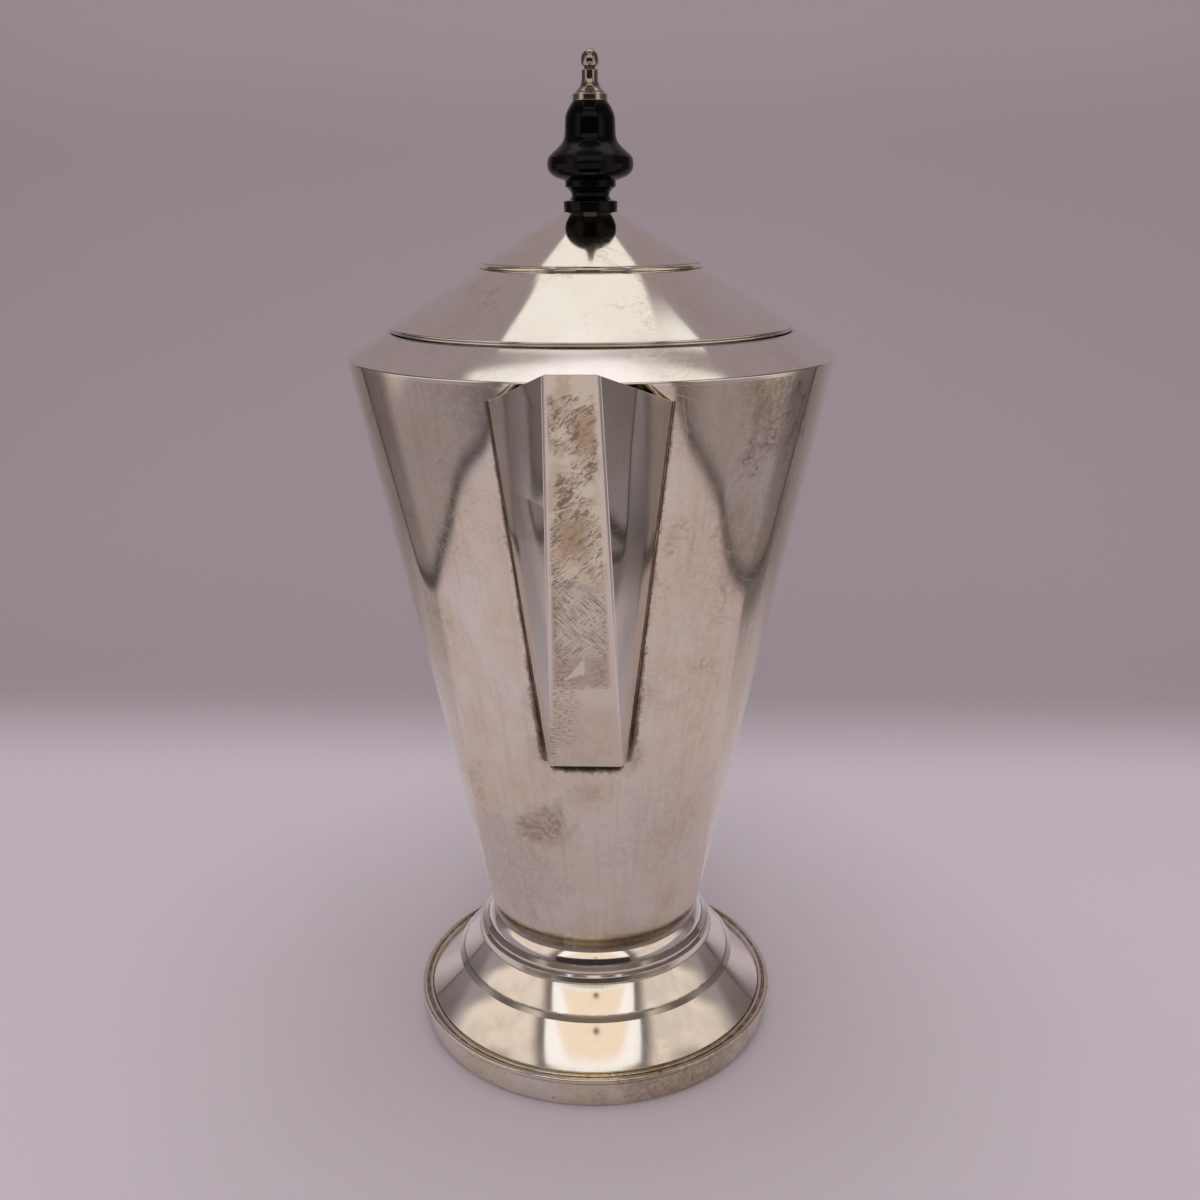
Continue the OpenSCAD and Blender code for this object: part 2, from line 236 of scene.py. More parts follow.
def prism(outline, x0, x1):
    """Closed solid of an outline in y and z, drawn counter-clockwise, from x0 to x1."""
    n = len(outline)
    verts = [(x0, y, z) for y, z in outline] + [(x1, y, z) for y, z in outline]
    faces = [[i, (i + 1) % n, n + (i + 1) % n, n + i] for i in range(n)]
    return verts, faces + [list(range(n))[::-1], list(range(n, 2 * n))]


def dress(obj, body, node, material):
    obj.data.materials.append(material)
    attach(obj, body)
    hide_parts(node)
    return obj


# Camera, solved from the circles in the photo
PITCH, ROLL, TURN = 0.302242, 0.00504881, radians(2.2)
CAMERA_AT = (1.9025, -337.43, 234.33)


def photo_camera():
    """Sets up the camera and returns its place."""
    turn = Matrix.Rotation(TURN, 3, "Z")
    right = turn @ Vector((1, 0, 0))
    ahead = turn @ Vector((0, cos(PITCH), -sin(PITCH)))
    down = turn @ Vector((0, -sin(PITCH), -cos(PITCH)))
    side = right * cos(ROLL) + down * sin(ROLL)
    under = down * cos(ROLL) - right * sin(ROLL)
    camera = add_object("camera", bpy.data.cameras.new("camera"))
    camera.data.sensor_width, camera.data.lens, camera.data.clip_start = 36, 37.5, 0.01
    at = turn @ Vector(CAMERA_AT) * MM
    axes = Matrix((side, -under, -ahead)).transposed()
    camera.matrix_world = Matrix.Translation(at) @ axes.to_4x4()
    bpy.context.scene.camera = camera
    bpy.context.scene.view_settings.view_transform = "Standard"
    return at


eye = photo_camera()

# Shader nodes
Surface = namedtuple("Surface", "o x y z angle radius")


class Wire:
    """A node's output. Sums and ramps of it add nodes."""

    def __init__(self, nodes, socket):
        self.nodes, self.socket = nodes, socket

    def __mul__(self, other):
        return self.nodes.math("MULTIPLY", self, other)

    def __truediv__(self, other):
        return self.nodes.math("DIVIDE", self, other)

    def __add__(self, other):
        return self.nodes.math("ADD", self, other)

    def __radd__(self, other):
        return self.nodes.math("ADD", other, self)

    def __sub__(self, other):
        return self.nodes.math("SUBTRACT", self, other)

    def __rsub__(self, other):
        return self.nodes.math("SUBTRACT", other, self)

    def __abs__(self):
        return self.nodes.math("ABSOLUTE", self)

    def ramp(self, lo, hi, a=0.0, b=1.0, kind="SMOOTHSTEP"):
        return self.nodes.add("MapRange", {0: self, 1: lo, 2: hi, 3: a, 4: b}, interpolation_type=kind)

    def fall(self, lo, hi):
        return self.ramp(lo, hi, 1.0, 0.0)

    def window(self, lo, hi, soft):
        return self.ramp(lo - soft, lo + soft) * self.fall(hi - soft, hi + soft)


class Nodes:
    """Short calls that add shader nodes to one material or world."""

    def __init__(self, owner):
        owner.use_nodes = True
        self.t = owner.node_tree
        self.t.nodes.clear()

    def node(self, kind, values=None, **props):
        n = self.t.nodes.new("ShaderNode" + kind)
        for k, v in props.items():
            setattr(n, k, v)
        for k, v in (values or {}).items():
            if isinstance(v, Wire):
                self.t.links.new(v.socket, n.inputs[k])
            else:
                n.inputs[k].default_value = v
        return n

    def add(self, kind, values=None, out=0, **props):
        return Wire(self, self.node(kind, values, **props).outputs[out])

    def math(self, op, a, b=0.0):
        return self.add("Math", {0: a, 1: b}, operation=op)

    def most(self, *xs):
        return reduce(lambda a, b: self.math("MAXIMUM", a, b), xs)

    def hypot(self, a, b):
        return self.math("SQRT", a * a + b * b)

    def mix(self, fac, a, b):
        """Mix of two colours, each a wire or three linear values."""
        a, b = ((*c, 1.0) if isinstance(c, tuple) else c for c in (a, b))
        return self.add("Mix", {0: fac, 6: a, 7: b}, 2, data_type="RGBA")

    def layers(self, colour, *coats):
        """Colour with each coat (weight, colour) laid over the ones before."""
        for weight, tone in coats:
            colour = self.mix(weight, colour, tone)
        return colour

    def noise(self, vec, scale, detail=2.0, rough=0.5, distort=0.0):
        return self.add("TexNoise", {"Vector": vec, "Scale": scale, "Detail": detail, "Roughness": rough,
                                     "Distortion": distort})

    def vec(self, x, y):
        return self.add("CombineXYZ", {0: x, 1: y})

    def moved(self, vec, by):
        return self.add("VectorMath", {0: vec, 1: by}, operation="ADD")

    def mapped(self, vec, scale=(1, 1, 1), turn=0.0, shift=(0, 0, 0)):
        return self.add("Mapping", {"Vector": vec, "Scale": scale, "Rotation": (0, 0, turn), "Location": shift})

    def drawn(self, vec, sx, sy, detail, rough=0.5, distort=0.0):
        """Noise with its own scale along each way of a flat coordinate."""
        return self.noise(self.mapped(vec, scale=(sx, sy, 1)), 1.0, detail, rough, distort)

    def edge(self):
        return self.add("Attribute", None, "Fac", attribute_name="edge")

    def place(self, scale=TO_MM):
        """Coordinates in mm, or in metres with scale 1: all three, x, y and z."""
        o = self.add("TexCoord", None, "Object")
        if scale != 1:
            o = self.add("VectorMath", {0: o, "Scale": scale}, operation="SCALE")
        return [o] + [Wire(self, s) for s in self.node("SeparateXYZ", {0: o}).outputs]

    def surface(self):
        """Place in mm, with the turn from the front and the distance from the axis."""
        o, x, y, z = self.place()
        return Surface(o, x, y, z, self.math("ARCTAN2", x, y * -1.0), self.hypot(x, y))

    def coat(self, colour, roughness, height, more, strength=1.0):
        """Principled surface with a bump height in mm."""
        bump = self.add("Bump", {"Height": height, "Strength": strength, "Distance": MM})
        return self.add("BsdfPrincipled", {"Base Color": colour, "Roughness": roughness, "Normal": bump, **more})

    def blend(self, weight, shader):
        """Shader that is clear where the weight is 0."""
        return self.add("MixShader", {0: weight, 1: self.add("BsdfTransparent"), 2: shader})

    def end(self, shader, kind="OutputMaterial"):
        self.node(kind, {0: shader})


def total(wires):
    return reduce(lambda a, b: a + b, wires)


def material(name):
    mat = bpy.data.materials.new(name)
    return mat, Nodes(mat)


def rgb(*levels):
    """Linear colour of a screen colour of 0 to 255."""
    return tuple(v / 255 / 12.92 if v / 255 <= 0.04045 else ((v / 255 + 0.055) / 1.055) ** 2.4 for v in levels)


# Colours of the plate and what lies on it
METAL = {"Metallic": 1.0}
CLEAN, WARM, RUBBED = (0.93, 0.89, 0.805), (0.87, 0.775, 0.60), (0.93, 0.86, 0.70)
BROWN, TARNISH, SCRATCHED = (0.42, 0.31, 0.20), (0.36, 0.265, 0.175), (0.36, 0.30, 0.25)
GRIT, PIT, DIRT = (0.30, 0.22, 0.15), (0.12, 0.09, 0.065), (0.045, 0.034, 0.024)
CHEEK_SHADE, SKIRT_DULL, STREAK = (0.42, 0.38, 0.36), (0.32, 0.29, 0.285), (0.56, 0.47, 0.37)
# level direction along the right cheek towards the back, and where on it the bend's line is measured from
CHEEK_X, CHEEK_Y, CHEEK_START = 0.454, 0.891, 54.7
SKIRT_Z = (38.4, 40.0)
# mm per radian when a turned piece is laid flat
UNROLL = 45.0
# fine marks: direction, length, width, threshold, shift
MARKS = ((0.45, 14.0, 0.27, 0.67, 3.1), (-0.9, 9.0, 0.24, 0.68, 17.3),
         (1.45, 20.0, 0.26, 0.65, 41.9), (2.2, 7.0, 0.22, 0.69, 77.7))


def scratch(g, flat, turn, length, width, keep, shift):
    """Fine straight marks across a flat coordinate in mm; keep is the share threshold."""
    v = g.mapped(flat, turn=turn, shift=(shift, shift * 1.7, 0))
    v = g.moved(v, g.vec(0.0, g.noise(v, 0.12, 1.0) * 2.0))
    return g.drawn(v, 1 / length, 1 / width, 1.0, 0.4).ramp(keep, keep + 0.05)


def spotted(g, s, mid, fine, spots):
    """Weight of tarnished spots with ragged outlines."""
    blotch = g.noise(s.o, 0.55, 6.0, 0.76, 0.8).ramp(0.34, 0.68)
    cloudy = fine.ramp(0.30, 0.62, 0.35, 1.0)
    found = []
    for turn_deg, spot_z, size, strength, mottled in spots:
        across = (s.angle - radians(turn_deg)) * s.radius
        far = g.hypot(across, s.z - spot_z) + (mid - 0.5) * (size * 2.5)
        found.append(far.ramp(size * 0.3, size, strength, 0.0) * (blotch if mottled else cloudy))
    return g.most(*found)


def silver(name, haze, marks, stain, rough=0.05, veil=0.08, lines=0.3, wave=0.04, pits=0.0, plane=False,
           spots=(), tilt=None, skirt=0.0, streaks=0.0, tone=CLEAN):
    """Silver plate: warm haze, brown tarnish, fine marks, polishing lines, dirt in hollows, bright crests.
    Spots are tarnished places: turn in degrees, height and size in mm, strength, and whether it is mottled.
    Tilt bends a flat side along a line: its hand, where the line runs and how it leans there as rows
    (z, z, from, to), the bend in degrees, its width in mm and how far the side looks down; past the line
    the side is painted duller, a painted darker reflection.
    Skirt darkens a low band of the piece next to the foot, streaks are the rubbed lines along the piece."""
    mat, g = material(name)
    s = g.surface()
    o, z = s.o, s.z
    flat = g.vec(s.x, z) if plane else g.vec(s.angle * UNROLL, z + s.radius)
    big = g.noise(o, 0.022, 3.0, 0.55, 0.4)
    mid = g.noise(o, 0.09, 4.0, 0.6, 0.6)
    fine = g.noise(o, 0.7, 4.0, 0.65)
    cloud = big * 0.6 + mid * 0.3 + fine * 0.1
    warm = cloud.ramp(0.36, 0.58)
    brown = (mid * 0.6 + fine * 0.4).ramp(0.52, 0.68) * big.ramp(0.47, 0.62)
    grit = g.noise(o, 2.2, 2.0, 0.6).ramp(0.60, 0.70) * mid.ramp(0.42, 0.62)
    lot = total(scratch(g, flat, *row) for row in MARKS) * g.noise(o, 0.045, 2.0).ramp(0.36, 0.60)
    turned = g.drawn(flat, 0.012, 2.2, 3.0, 0.7)
    speck = g.noise(o, 5.0, 3.0, 0.7).ramp(0.56, 0.72)
    edge = g.edge()
    hollow = (edge * -1.0).ramp(0.12, 0.75) * g.noise(o, 0.35, 3.0, 0.6).ramp(0.30, 0.55, 0.45, 1.0)

    colour = g.mix(warm * haze, tone, WARM)
    roughness = (rough + warm * (haze * 0.035) + speck * veil + brown * (stain * 0.30) + lot * (marks * 0.12)
                 + hollow * 0.35 + turned.ramp(0.40, 0.75) * (lines * 0.05))
    height = turned * (lines * 0.0004) + lot * (marks * -0.0040) + fine * 0.0004 + grit * (-0.002 * stain)
    if wave:
        height = g.noise(o, 0.03, 1.0) * wave + g.noise(o, 0.16, 2.0) * (wave * 0.035) + height
    if tilt:
        hand, courses, leans, bend, width, dip = tilt
        reach = s.x * (hand * CHEEK_X) + s.y * CHEEK_Y + CHEEK_START
        off = reach - total(z.ramp(*row, "LINEAR") for row in courses)
        lean = total(z.ramp(z0, z1, radians(a), radians(b), "LINEAR") for z0, z1, a, b in leans)
        crown = g.math("SQRT", off * off + width * width)
        height = height + off * lean + crown * -radians(bend) + z * math.tan(radians(dip))
        # painted shade: past the bend's line the side is painted duller, standing in for the darker walls it
        # mirrors there
        colour = g.mix(off.ramp(1.0, 9.0, 0.0, 0.48), colour, CHEEK_SHADE)
    if streaks:
        streak = g.drawn(flat, 0.55, 0.030, 5.0, 0.68, 0.3).ramp(0.46, 0.70)
        colour = g.mix(streak * streaks, colour, STREAK)
    colour = g.mix(brown * stain, colour, BROWN)
    if spots:
        tarnish = spotted(g, s, mid, fine, spots)
        colour = g.mix(tarnish, colour, TARNISH)
        roughness = roughness + tarnish * 0.14
    if skirt:
        colour = g.mix(z.ramp(*SKIRT_Z, skirt, 0.0), colour, SKIRT_DULL)
    colour = g.layers(colour, (grit * (stain * 0.7), GRIT), (lot * (marks * 0.34), SCRATCHED),
                      (edge.ramp(0.15, 0.9) * 0.35, RUBBED), (hollow * 0.85, DIRT))
    if pits:
        cell = g.add("TexVoronoi", {"Vector": o, "Scale": 0.55, "Randomness": 1.0}, "Distance")
        pit = cell.fall(0.10, 0.24) * fine.ramp(0.50, 0.60)
        colour = g.mix(pit * pits, colour, PIT)
    g.end(g.coat(colour, roughness, height, METAL))
    return mat


def strip_silver(name):
    """The front strip's worn plate: pale edges, tan stains and flakes, crossed file marks, a smooth lower end.
    u runs across it from -1 to 1, v up it from 0 to 1, and wu and wv are the same with ragged lines."""
    mat, g = material(name)
    o, x, _, z = g.place()
    v = (z - TOE_Z) / (LIP_Z - TOE_Z)
    u = x / (TOE_HALF - v * (TOE_HALF - LIP_HALF))
    flat = g.vec(x, z * 1.1)
    drift = g.vec(g.noise(flat, 0.35, 3.0) * 2.2, g.noise(flat, 0.30, 3.0) * 2.6)
    warped = g.moved(flat, drift)
    ragged = (g.noise(flat, 0.55, 4.0, 0.65) - 0.5) * 0.9
    wv, wu = v + ragged * 0.09, u + ragged * 0.8
    torn = v + ragged * 0.022
    centre = abs(u + 0.04)
    inside = centre.fall(0.66, 0.92)

    # tan stains and the flakes round them
    tan1 = wv.window(0.835, 0.925, 0.03) * wu.ramp(-0.30, 0.25) * wu.fall(0.70, 1.0)
    tan2 = wv.window(0.595, 0.705, 0.03) * wu.window(-0.62, 0.36, 0.24)
    tan3 = wv.window(0.935, 1.0, 0.015) * wu.window(-0.55, 0.0, 0.15) * 0.5
    soft = g.noise(warped, 0.16, 3.0, 0.6, 0.4).ramp(0.44, 0.62) * v.window(0.53, 0.97, 0.03) * 0.45
    tan = g.most(tan1, tan2, tan3, soft)
    slanted = g.mapped(warped, turn=-0.78)
    small = g.drawn(slanted, 0.9, 3.6, 4.0, 0.68, 0.5)
    grain = g.drawn(slanted, 0.30, 1.25, 5.0, 0.70, 0.7) * 0.62 + small * 0.38
    slant = wv - wu * 0.052
    top = wv.window(0.845, 0.955, 0.02) * g.most(wv.ramp(0.905, 0.925), wu.ramp(-0.05, 0.45, 1.0, 0.2))
    across = slant.window(0.748, 0.822, 0.018) * wu.ramp(-0.80, -0.50)
    middle = wv.window(0.695, 0.745, 0.015) * wu.window(-0.62, 0.50, 0.1)
    around = wv.window(0.535, 0.70, 0.015) * abs(wu + 0.1).ramp(0.25, 0.6, 0.3, 0.8)
    zone = (top + across + middle + around) * g.noise(flat, 0.28, 2.0).ramp(0.34, 0.60, 0.55, 1.0)
    fleck = (grain + zone * 0.10 + tan * 0.02).ramp(0.545, 0.665)
    fleck = fleck * (zone + tan * 0.25).ramp(0.05, 0.4) * inside.ramp(0.0, 0.35)
    seam = wv.window(0.525, 0.545, 0.010) * wu.ramp(-0.3, 0.3, 1.0, 0.2) * inside

    # crossed file marks on a brown ground, with two bare wedges under them
    hatch = wv.window(0.335, 0.528, 0.016) * wu.ramp(-0.85, -0.70) * wu.fall(0.72, 0.85)
    part = g.noise(warped, 0.13, 2.0)
    rising = scratch(g, flat, 0.86, 4.0, 0.29, 0.46, 5.0) * part.ramp(0.34, 0.48)
    sinking = scratch(g, flat, -0.92, 4.0, 0.29, 0.47, 31.0) * part.ramp(0.64, 0.50)
    filed = hatch * g.most(rising, sinking)
    short = scratch(g, flat, 0.10, 1.3, 0.34, 0.54, 57.0)
    lower = v.window(0.07, 0.33, 0.03) * wu.ramp(-0.98, -0.85) * wu.ramp(0.05, -0.5) * short
    level = wv.window(0.25, 0.36, 0.015) * short * inside * abs(wu).ramp(0.1, 0.6)
    slope = u + 0.56 + ragged * 0.3 - (v - 0.272) * 9.8
    wedge = (slope.ramp(-0.04, 0.04) * (u + ragged * 0.25).fall(0.02, 0.10)
             * (torn - u * 0.030).ramp(0.283, 0.291))
    apron = torn.fall(0.243, 0.250) * v.ramp(0.165, 0.225) * (u + v * 6.0).ramp(1.05, 1.25) * 0.75
    ground = (wv.window(0.252, 0.528, 0.014) * centre.fall(0.74, 0.95) * wv.ramp(0.32, 0.38, 0.50, 0.92)
              * g.noise(flat, 0.6, 4.0, 0.7).ramp(0.30, 0.65, 0.6, 1.0))

    # brushed lower end, ticks on its left edge and rubbed long edges
    brushed = v.fall(0.18, 0.28) * g.drawn(flat, 3.0, 0.10, 3.0, 0.7).ramp(0.4, 0.7)
    dull = v.fall(0.14, 0.22) * g.noise(flat, 0.22, 4.0, 0.7).ramp(0.38, 0.62) * u.ramp(0.72, 0.9, 1.0, 0.2)
    ticks = u.ramp(-0.80, -0.93) * v.ramp(0.32, 0.22) * g.drawn(flat, 0.4, 2.6, 2.0).ramp(0.52, 0.60)
    rim = abs(u).ramp(0.88, 0.96) * v.ramp(0.05, 0.25)
    pale = v.ramp(0.30, 0.55)
    colour = g.layers(
        g.mix(pale, (0.94, 0.84, 0.67), (0.98, 0.91, 0.71)),
        (ground, (0.36, 0.285, 0.21)),
        (tan * small.ramp(0.30, 0.62, 0.88, 0.58), (0.55, 0.405, 0.225)),
        (fleck * 0.86, (0.33, 0.245, 0.17)),
        (seam * grain.ramp(0.42, 0.55) * 0.7, (0.18, 0.14, 0.10)),
        (filed * 0.9, (0.95, 0.88, 0.76)),
        (g.most(lower, level) * 0.62, (0.30, 0.24, 0.175)),
        (g.most(wedge, apron) * 0.9, (0.99, 0.91, 0.78)),
        (dull * 0.18, (0.52, 0.44, 0.35)),
        (brushed * 0.15, (0.46, 0.385, 0.31)),
        (ticks * 0.7, (0.15, 0.115, 0.085)),
        (rim * 0.7, (0.93, 0.88, 0.80)))
    roughness = 0.20 + pale * 0.20 + tan * 0.12 + fleck * 0.10 + filed * 0.1 + rim * -0.10
    height = (fleck * -0.010 + filed * 0.026 + tan * -0.01 + g.noise(o, 0.8, 4.0, 0.7) * 0.008
              + g.noise(o, 0.1, 2.0) * 0.08 + level * -0.012)
    g.end(g.coat(colour, roughness, height, METAL))
    return mat


def solder(name):
    """Dark brown dirt and solder along a joint, also the painted shadow with dirt under the strip's end; it fades
    out where the edge weight comes up to 0.
    """
    mat, g = material(name)
    o = g.place()[0]
    fine = g.noise(o, 1.1, 4.0, 0.65)
    long = g.noise(g.mapped(o, scale=(1.0, 1.0, 0.25)), 0.5, 3.0, 0.6)
    depth = g.edge() * -1.0 + (fine - 0.5) * 0.55 + (long - 0.5) * 0.5
    colour = g.mix(depth.ramp(0.25, 0.95), (0.30, 0.225, 0.155), (0.035, 0.026, 0.019))
    dirt = g.coat(colour, depth.ramp(0.2, 0.9, 0.22, 0.5), fine * 0.03, {"Metallic": 0.85})
    g.end(g.blend(depth.ramp(0.08, 0.55), dirt))
    return mat


def black(name, rough, grain, gloss, tones):
    """Black polished fittings: faint turning lines, dust and rubbed edges."""
    mat, g = material(name)
    s = g.surface()
    cloud = g.noise(s.o, 0.12, 4.0, 0.6)
    fine = g.noise(s.o, 1.6, 3.0, 0.6)
    colour = g.mix(cloud.ramp(0.35, 0.7), *tones)
    colour = g.mix(g.edge().ramp(0.3, 0.9) * 0.20, colour, (0.020, 0.018, 0.017))
    roughness = rough + cloud.ramp(0.4, 0.7) * 0.06 + fine.ramp(0.55, 0.75) * 0.06
    height = fine * 0.0015 + g.noise(s.o, 0.25, 2.0) * 0.02
    if grain:
        rings = g.noise(g.vec(s.angle * 0.4, (s.z + s.radius) * 2.2), 1.0, 2.0)
        height = rings * (grain * 0.004) + height
    g.end(g.coat(colour, roughness, height, {"IOR": 1.54, "Specular IOR Level": gloss}, 0.8))
    return mat


body_silver = silver(
    "silver_body", 1.0, 0.75, 0.5, veil=0.16, skirt=0.8, streaks=0.22,
    spots=((-17, 76, 11, 0.72, False), (-12, 58, 7, 0.3, True), (48, 188, 17, 0.95, True),
           (43, 196, 15, 0.75, False), (-27, 194, 14, 0.3, False), (42, 160, 26, 0.26, True),
           (58, 165, 18, 0.26, True), (-36, 182, 16, 0.20, True),
           (-13.5, 101, 8, 0.6, False), (13.5, 101, 8, 0.6, False), (14.5, 117, 7, 0.4, False),
           (-14.5, 117, 6, 0.35, False), (24, 120, 16, 0.22, True), (2, 90, 9, 0.25, False),
           (-38, 62, 24, 0.30, False), (35, 75, 25, 0.22, False), (40, 130, 25, 0.16, True)))
lid_silver = silver(
    "silver_lid", 0.35, 0.14, 0.34, veil=0.10,
    spots=((-62, 200, 11, 0.22, True), (52, 201, 9, 0.18, True), (-38, 208, 9, 0.14, True),
           (38, 212, 9, 0.12, True)))
foot_silver = silver("silver_foot", 0.22, 0.15, 0.18, rough=0.085, veil=0.06, lines=0.4, wave=0.05)
band_silver = silver("silver_band", 1.0, 0.3, 0.55, rough=0.11, veil=0.12, lines=0.6, pits=0.85,
                     spots=((34, 4, 34, 0.68, False), (-8, 4, 20, 0.22, True)))
cheek_right = silver(
    "silver_cheek_right", 0.70, 0.25, 0.25, rough=0.045, veil=0.10, lines=0.2, plane=True,
    tilt=(1, ((197.7, 185.7, -8.31, -6.42), (185.7, 163.2, 0.0, 5.35)),
          ((197.7, 174.1, -1.25, 1.05), (174.1, 163.2, 0.0, 1.7)), 2.0, 1.2, 0.0))
cheek_left = silver(
    "silver_cheek_left", 0.70, 0.25, 0.25, rough=0.06, veil=0.10, lines=0.2, plane=True,
    tilt=(-1, ((197.6, 174.2, -15.36, -4.12),), ((197.6, 163.2, 2.15, 6.1),), 1.6, 3.0, 1.9))
inner_silver = silver("silver_inside", 0.18, 0.3, 0.4, rough=0.20, lines=0.8, tone=(0.84, 0.825, 0.80))
tip_silver = silver("silver_tip", 0.1, 0.2, 0.05, rough=0.10, veil=0.04, wave=0.0, tone=(0.34, 0.305, 0.27))
fixing_silver = silver("silver_fixings", 0.8, 0.3, 0.5, rough=0.20)
strip_metal = strip_silver("silver_strip")
solder_dirt_and_shadow = solder("solder_dirt_and_shadow")
knob_black = black("black_knob", 0.11, 0.4, 0.12, ((0.0012, 0.0012, 0.0013), (0.0036, 0.0033, 0.0032)))
grip_black = black("black_grip", 0.16, 0.0, 0.4, ((0.004, 0.004, 0.004), (0.009, 0.008, 0.0075)))

# Foot
DOME_WALL = 1.485
COLLAR_Z = 27.0
band = [(49.6, 0, 0.3), (51.7, 0, 0.5)]
band += arc(52.6, 8.8, 0.8, -68.8, 165.5, 16) + arc(50.6, 8.8, 0.6, 19.5, 160.5, 10)
band += [(48.415, 9.0), (48.415, 7.9), (50.9, 7.9)]
dress(lathe("foot_band_form", rounded(band, 0.2)), "pot", "foot_rim_band", band_silver)

dome = [(49.9, 9.02), (49.85, 9.6, 0.1)] + bow((49.85, 9.6), (41.55, 19.15), -0.39, 16)[1:-1]
dome += [(41.55, 19.15, 0.16), (40.1, 20.4, 0.16)] + bow((40.1, 20.4), (35.2, COLLAR_Z), -0.2, 12)[1:]
dome += [(c[0] - DOME_WALL, c[1]) for c in dome[::-1]]
dress(lathe("foot_dome_form", rounded(dome, 0.2)), "pot", "foot_dome", foot_silver)

collar = [(32.615, COLLAR_Z), (35.07, COLLAR_Z), (34.5, 28.8, 0.3), (33.633, 29.4, 0.15),
          (33.633, 30.225, 0.15)]
collar += bow((32.333, 31.35), (BODY_LOW_R, BODY_LOW_Z), 0.22)
collar += [(29.377, BODY_LOW_Z), (29.377, 31.5), (32.615, 27.75)]
dress(lathe("foot_collar_form", rounded(collar, 0.3)), "pot", "foot_collar", foot_silver)

# Body, with the strainer behind the spout
HOLE_R, HOLE_STEP, HOLE_Z, HOLE_SIDES = 1.8, 6.0, 146.3, 24
PATCH_LOW, PATCH_HIGH, PATCH_COLS = 131.0, 161.6, 17
holes = [((i + k / 2) * HOLE_STEP, HOLE_Z + k * HOLE_STEP * sin(radians(60)))
         for i in range(-2, 3) for k in range(-2, 3) if abs(i + k) <= 2]
wall_zs = [BODY_LOW_Z, 34.8, 36.0, 60.0, 95.0, PATCH_LOW, PATCH_HIGH, 180.0, 196.0, 197.05, SHELL_Z]
wall_n = unit((1, -LEAN))
wall_rows = [(body_r(z), z, *wall_n, 0.0) for z in wall_zs]
wall_rows += [(body_r(z) - WALL, z, *(-wall_n), 0.0) for z in wall_zs[::-1]]
outer_row = wall_zs.index(PATCH_LOW)
inner_row = 2 * len(wall_zs) - 2 - outer_row


def outside_patch(i, k):
    return i not in (outer_row, inner_row) or PATCH_COLS <= k < SEG - PATCH_COLS


verts, faces, normals, edge, index = lathe_data(wall_rows, SEG, True, outside_patch)


def patch(inner):
    """Cuts the strainer's holes in the wall behind the spout; returns the verts of each hole's rim."""
    low, high = (index[inner_row + 1], index[inner_row]) if inner else (index[outer_row], index[outer_row + 1])
    ks = [k % SEG for k in range(-PATCH_COLS, PATCH_COLS + 1)]
    border = [low[k] for k in ks] + [high[k] for k in ks[::-1]]
    flat = [Vector((verts[i][0], verts[i][2])) for i in border]
    loops = [list(range(len(border)))]
    for hx, hz in holes:
        loops.append(list(range(len(flat), len(flat) + HOLE_SIDES)))
        flat += [Vector((hx + HOLE_R * cos(t), hz + HOLE_R * sin(t)))
                 for t in np.arange(HOLE_SIDES) * pi / 12]
    edges = [(lp[j], lp[(j + 1) % len(lp)]) for lp in loops for j in range(len(lp))]
    co, _, tris, orig, _, _ = delaunay_2d_cdt(flat, edges, [], 1, 1e-6)
    ids = []
    for c, src in zip(co, orig):
        if src and src[0] < len(border):
            ids.append(border[src[0]])
            continue
        r = body_r(c.y) - (WALL if inner else 0)
        y = -math.sqrt(r * r - c.x * c.x)
        ids.append(len(verts))
        verts.append((c.x, y, c.y))
        normals.append(tuple(unit((c.x / r, y / r, -LEAN)) * (-1 if inner else 1)))
        edge.append(0.0)
    for t in tris:
        cx, cz = sum(co[j].x for j in t) / 3, sum(co[j].y for j in t) / 3
        if min(math.hypot(cx - hx, cz - hz) for hx, hz in holes) > HOLE_R * 0.985:
            f = [ids[j] for j in t]
            faces.append(f[::-1] if inner else f)
    at = {s: ids[j] for j, src in enumerate(orig) for s in src}
    return [[at[j] for j in lp] for lp in loops[1:]]


for outer_rim, inner_rim in zip(patch(False), patch(True)):
    for j in range(HOLE_SIDES):
        k = (j + 1) % HOLE_SIDES
        faces.append([outer_rim[k], outer_rim[j], inner_rim[j], inner_rim[k]])
shell = dress(make("body_shell_form", verts, faces, normals, edge), "pot", "body_shell", body_silver)
shell.data.materials.append(inner_silver)
for poly in shell.data.polygons:
    poly.material_index = int(poly.normal.x * poly.center.x + poly.normal.y * poly.center.y < 0)

inside_r, floor_z = BODY_LOW_R - WALL, BODY_LOW_Z + SHEET
floor_outline = [(0, BODY_LOW_Z), (inside_r, BODY_LOW_Z), (inside_r + 0.2, floor_z), (0, floor_z)]
floor = lathe("body_floor_form", rounded(floor_outline, 0.1, closed=False), 128, False)
dress(floor, "pot", "body_floor", inner_silver)

# Shoulder ring and mouth
ring = [(62.68, SHELL_Z), (63.8, SHELL_Z, 0.05), (BODY_TOP_R, BODY_TOP_Z, 0.45), (LID_R, MOUTH_Z, 0.3),
        (LID_R, 203.386)]
dress(lathe("shoulder_ring_form", rounded(ring, 0.15, 8)), "pot", "shoulder_ring", lid_silver)
bezel = [(52.0, 195.17), (LID_R, 195.17), (LID_R, 204.6), (52.0, 204.6)]
dress(lathe("rim_bezel_form", rounded(bezel, 0.3)), "pot", "rim_bezel", inner_silver)

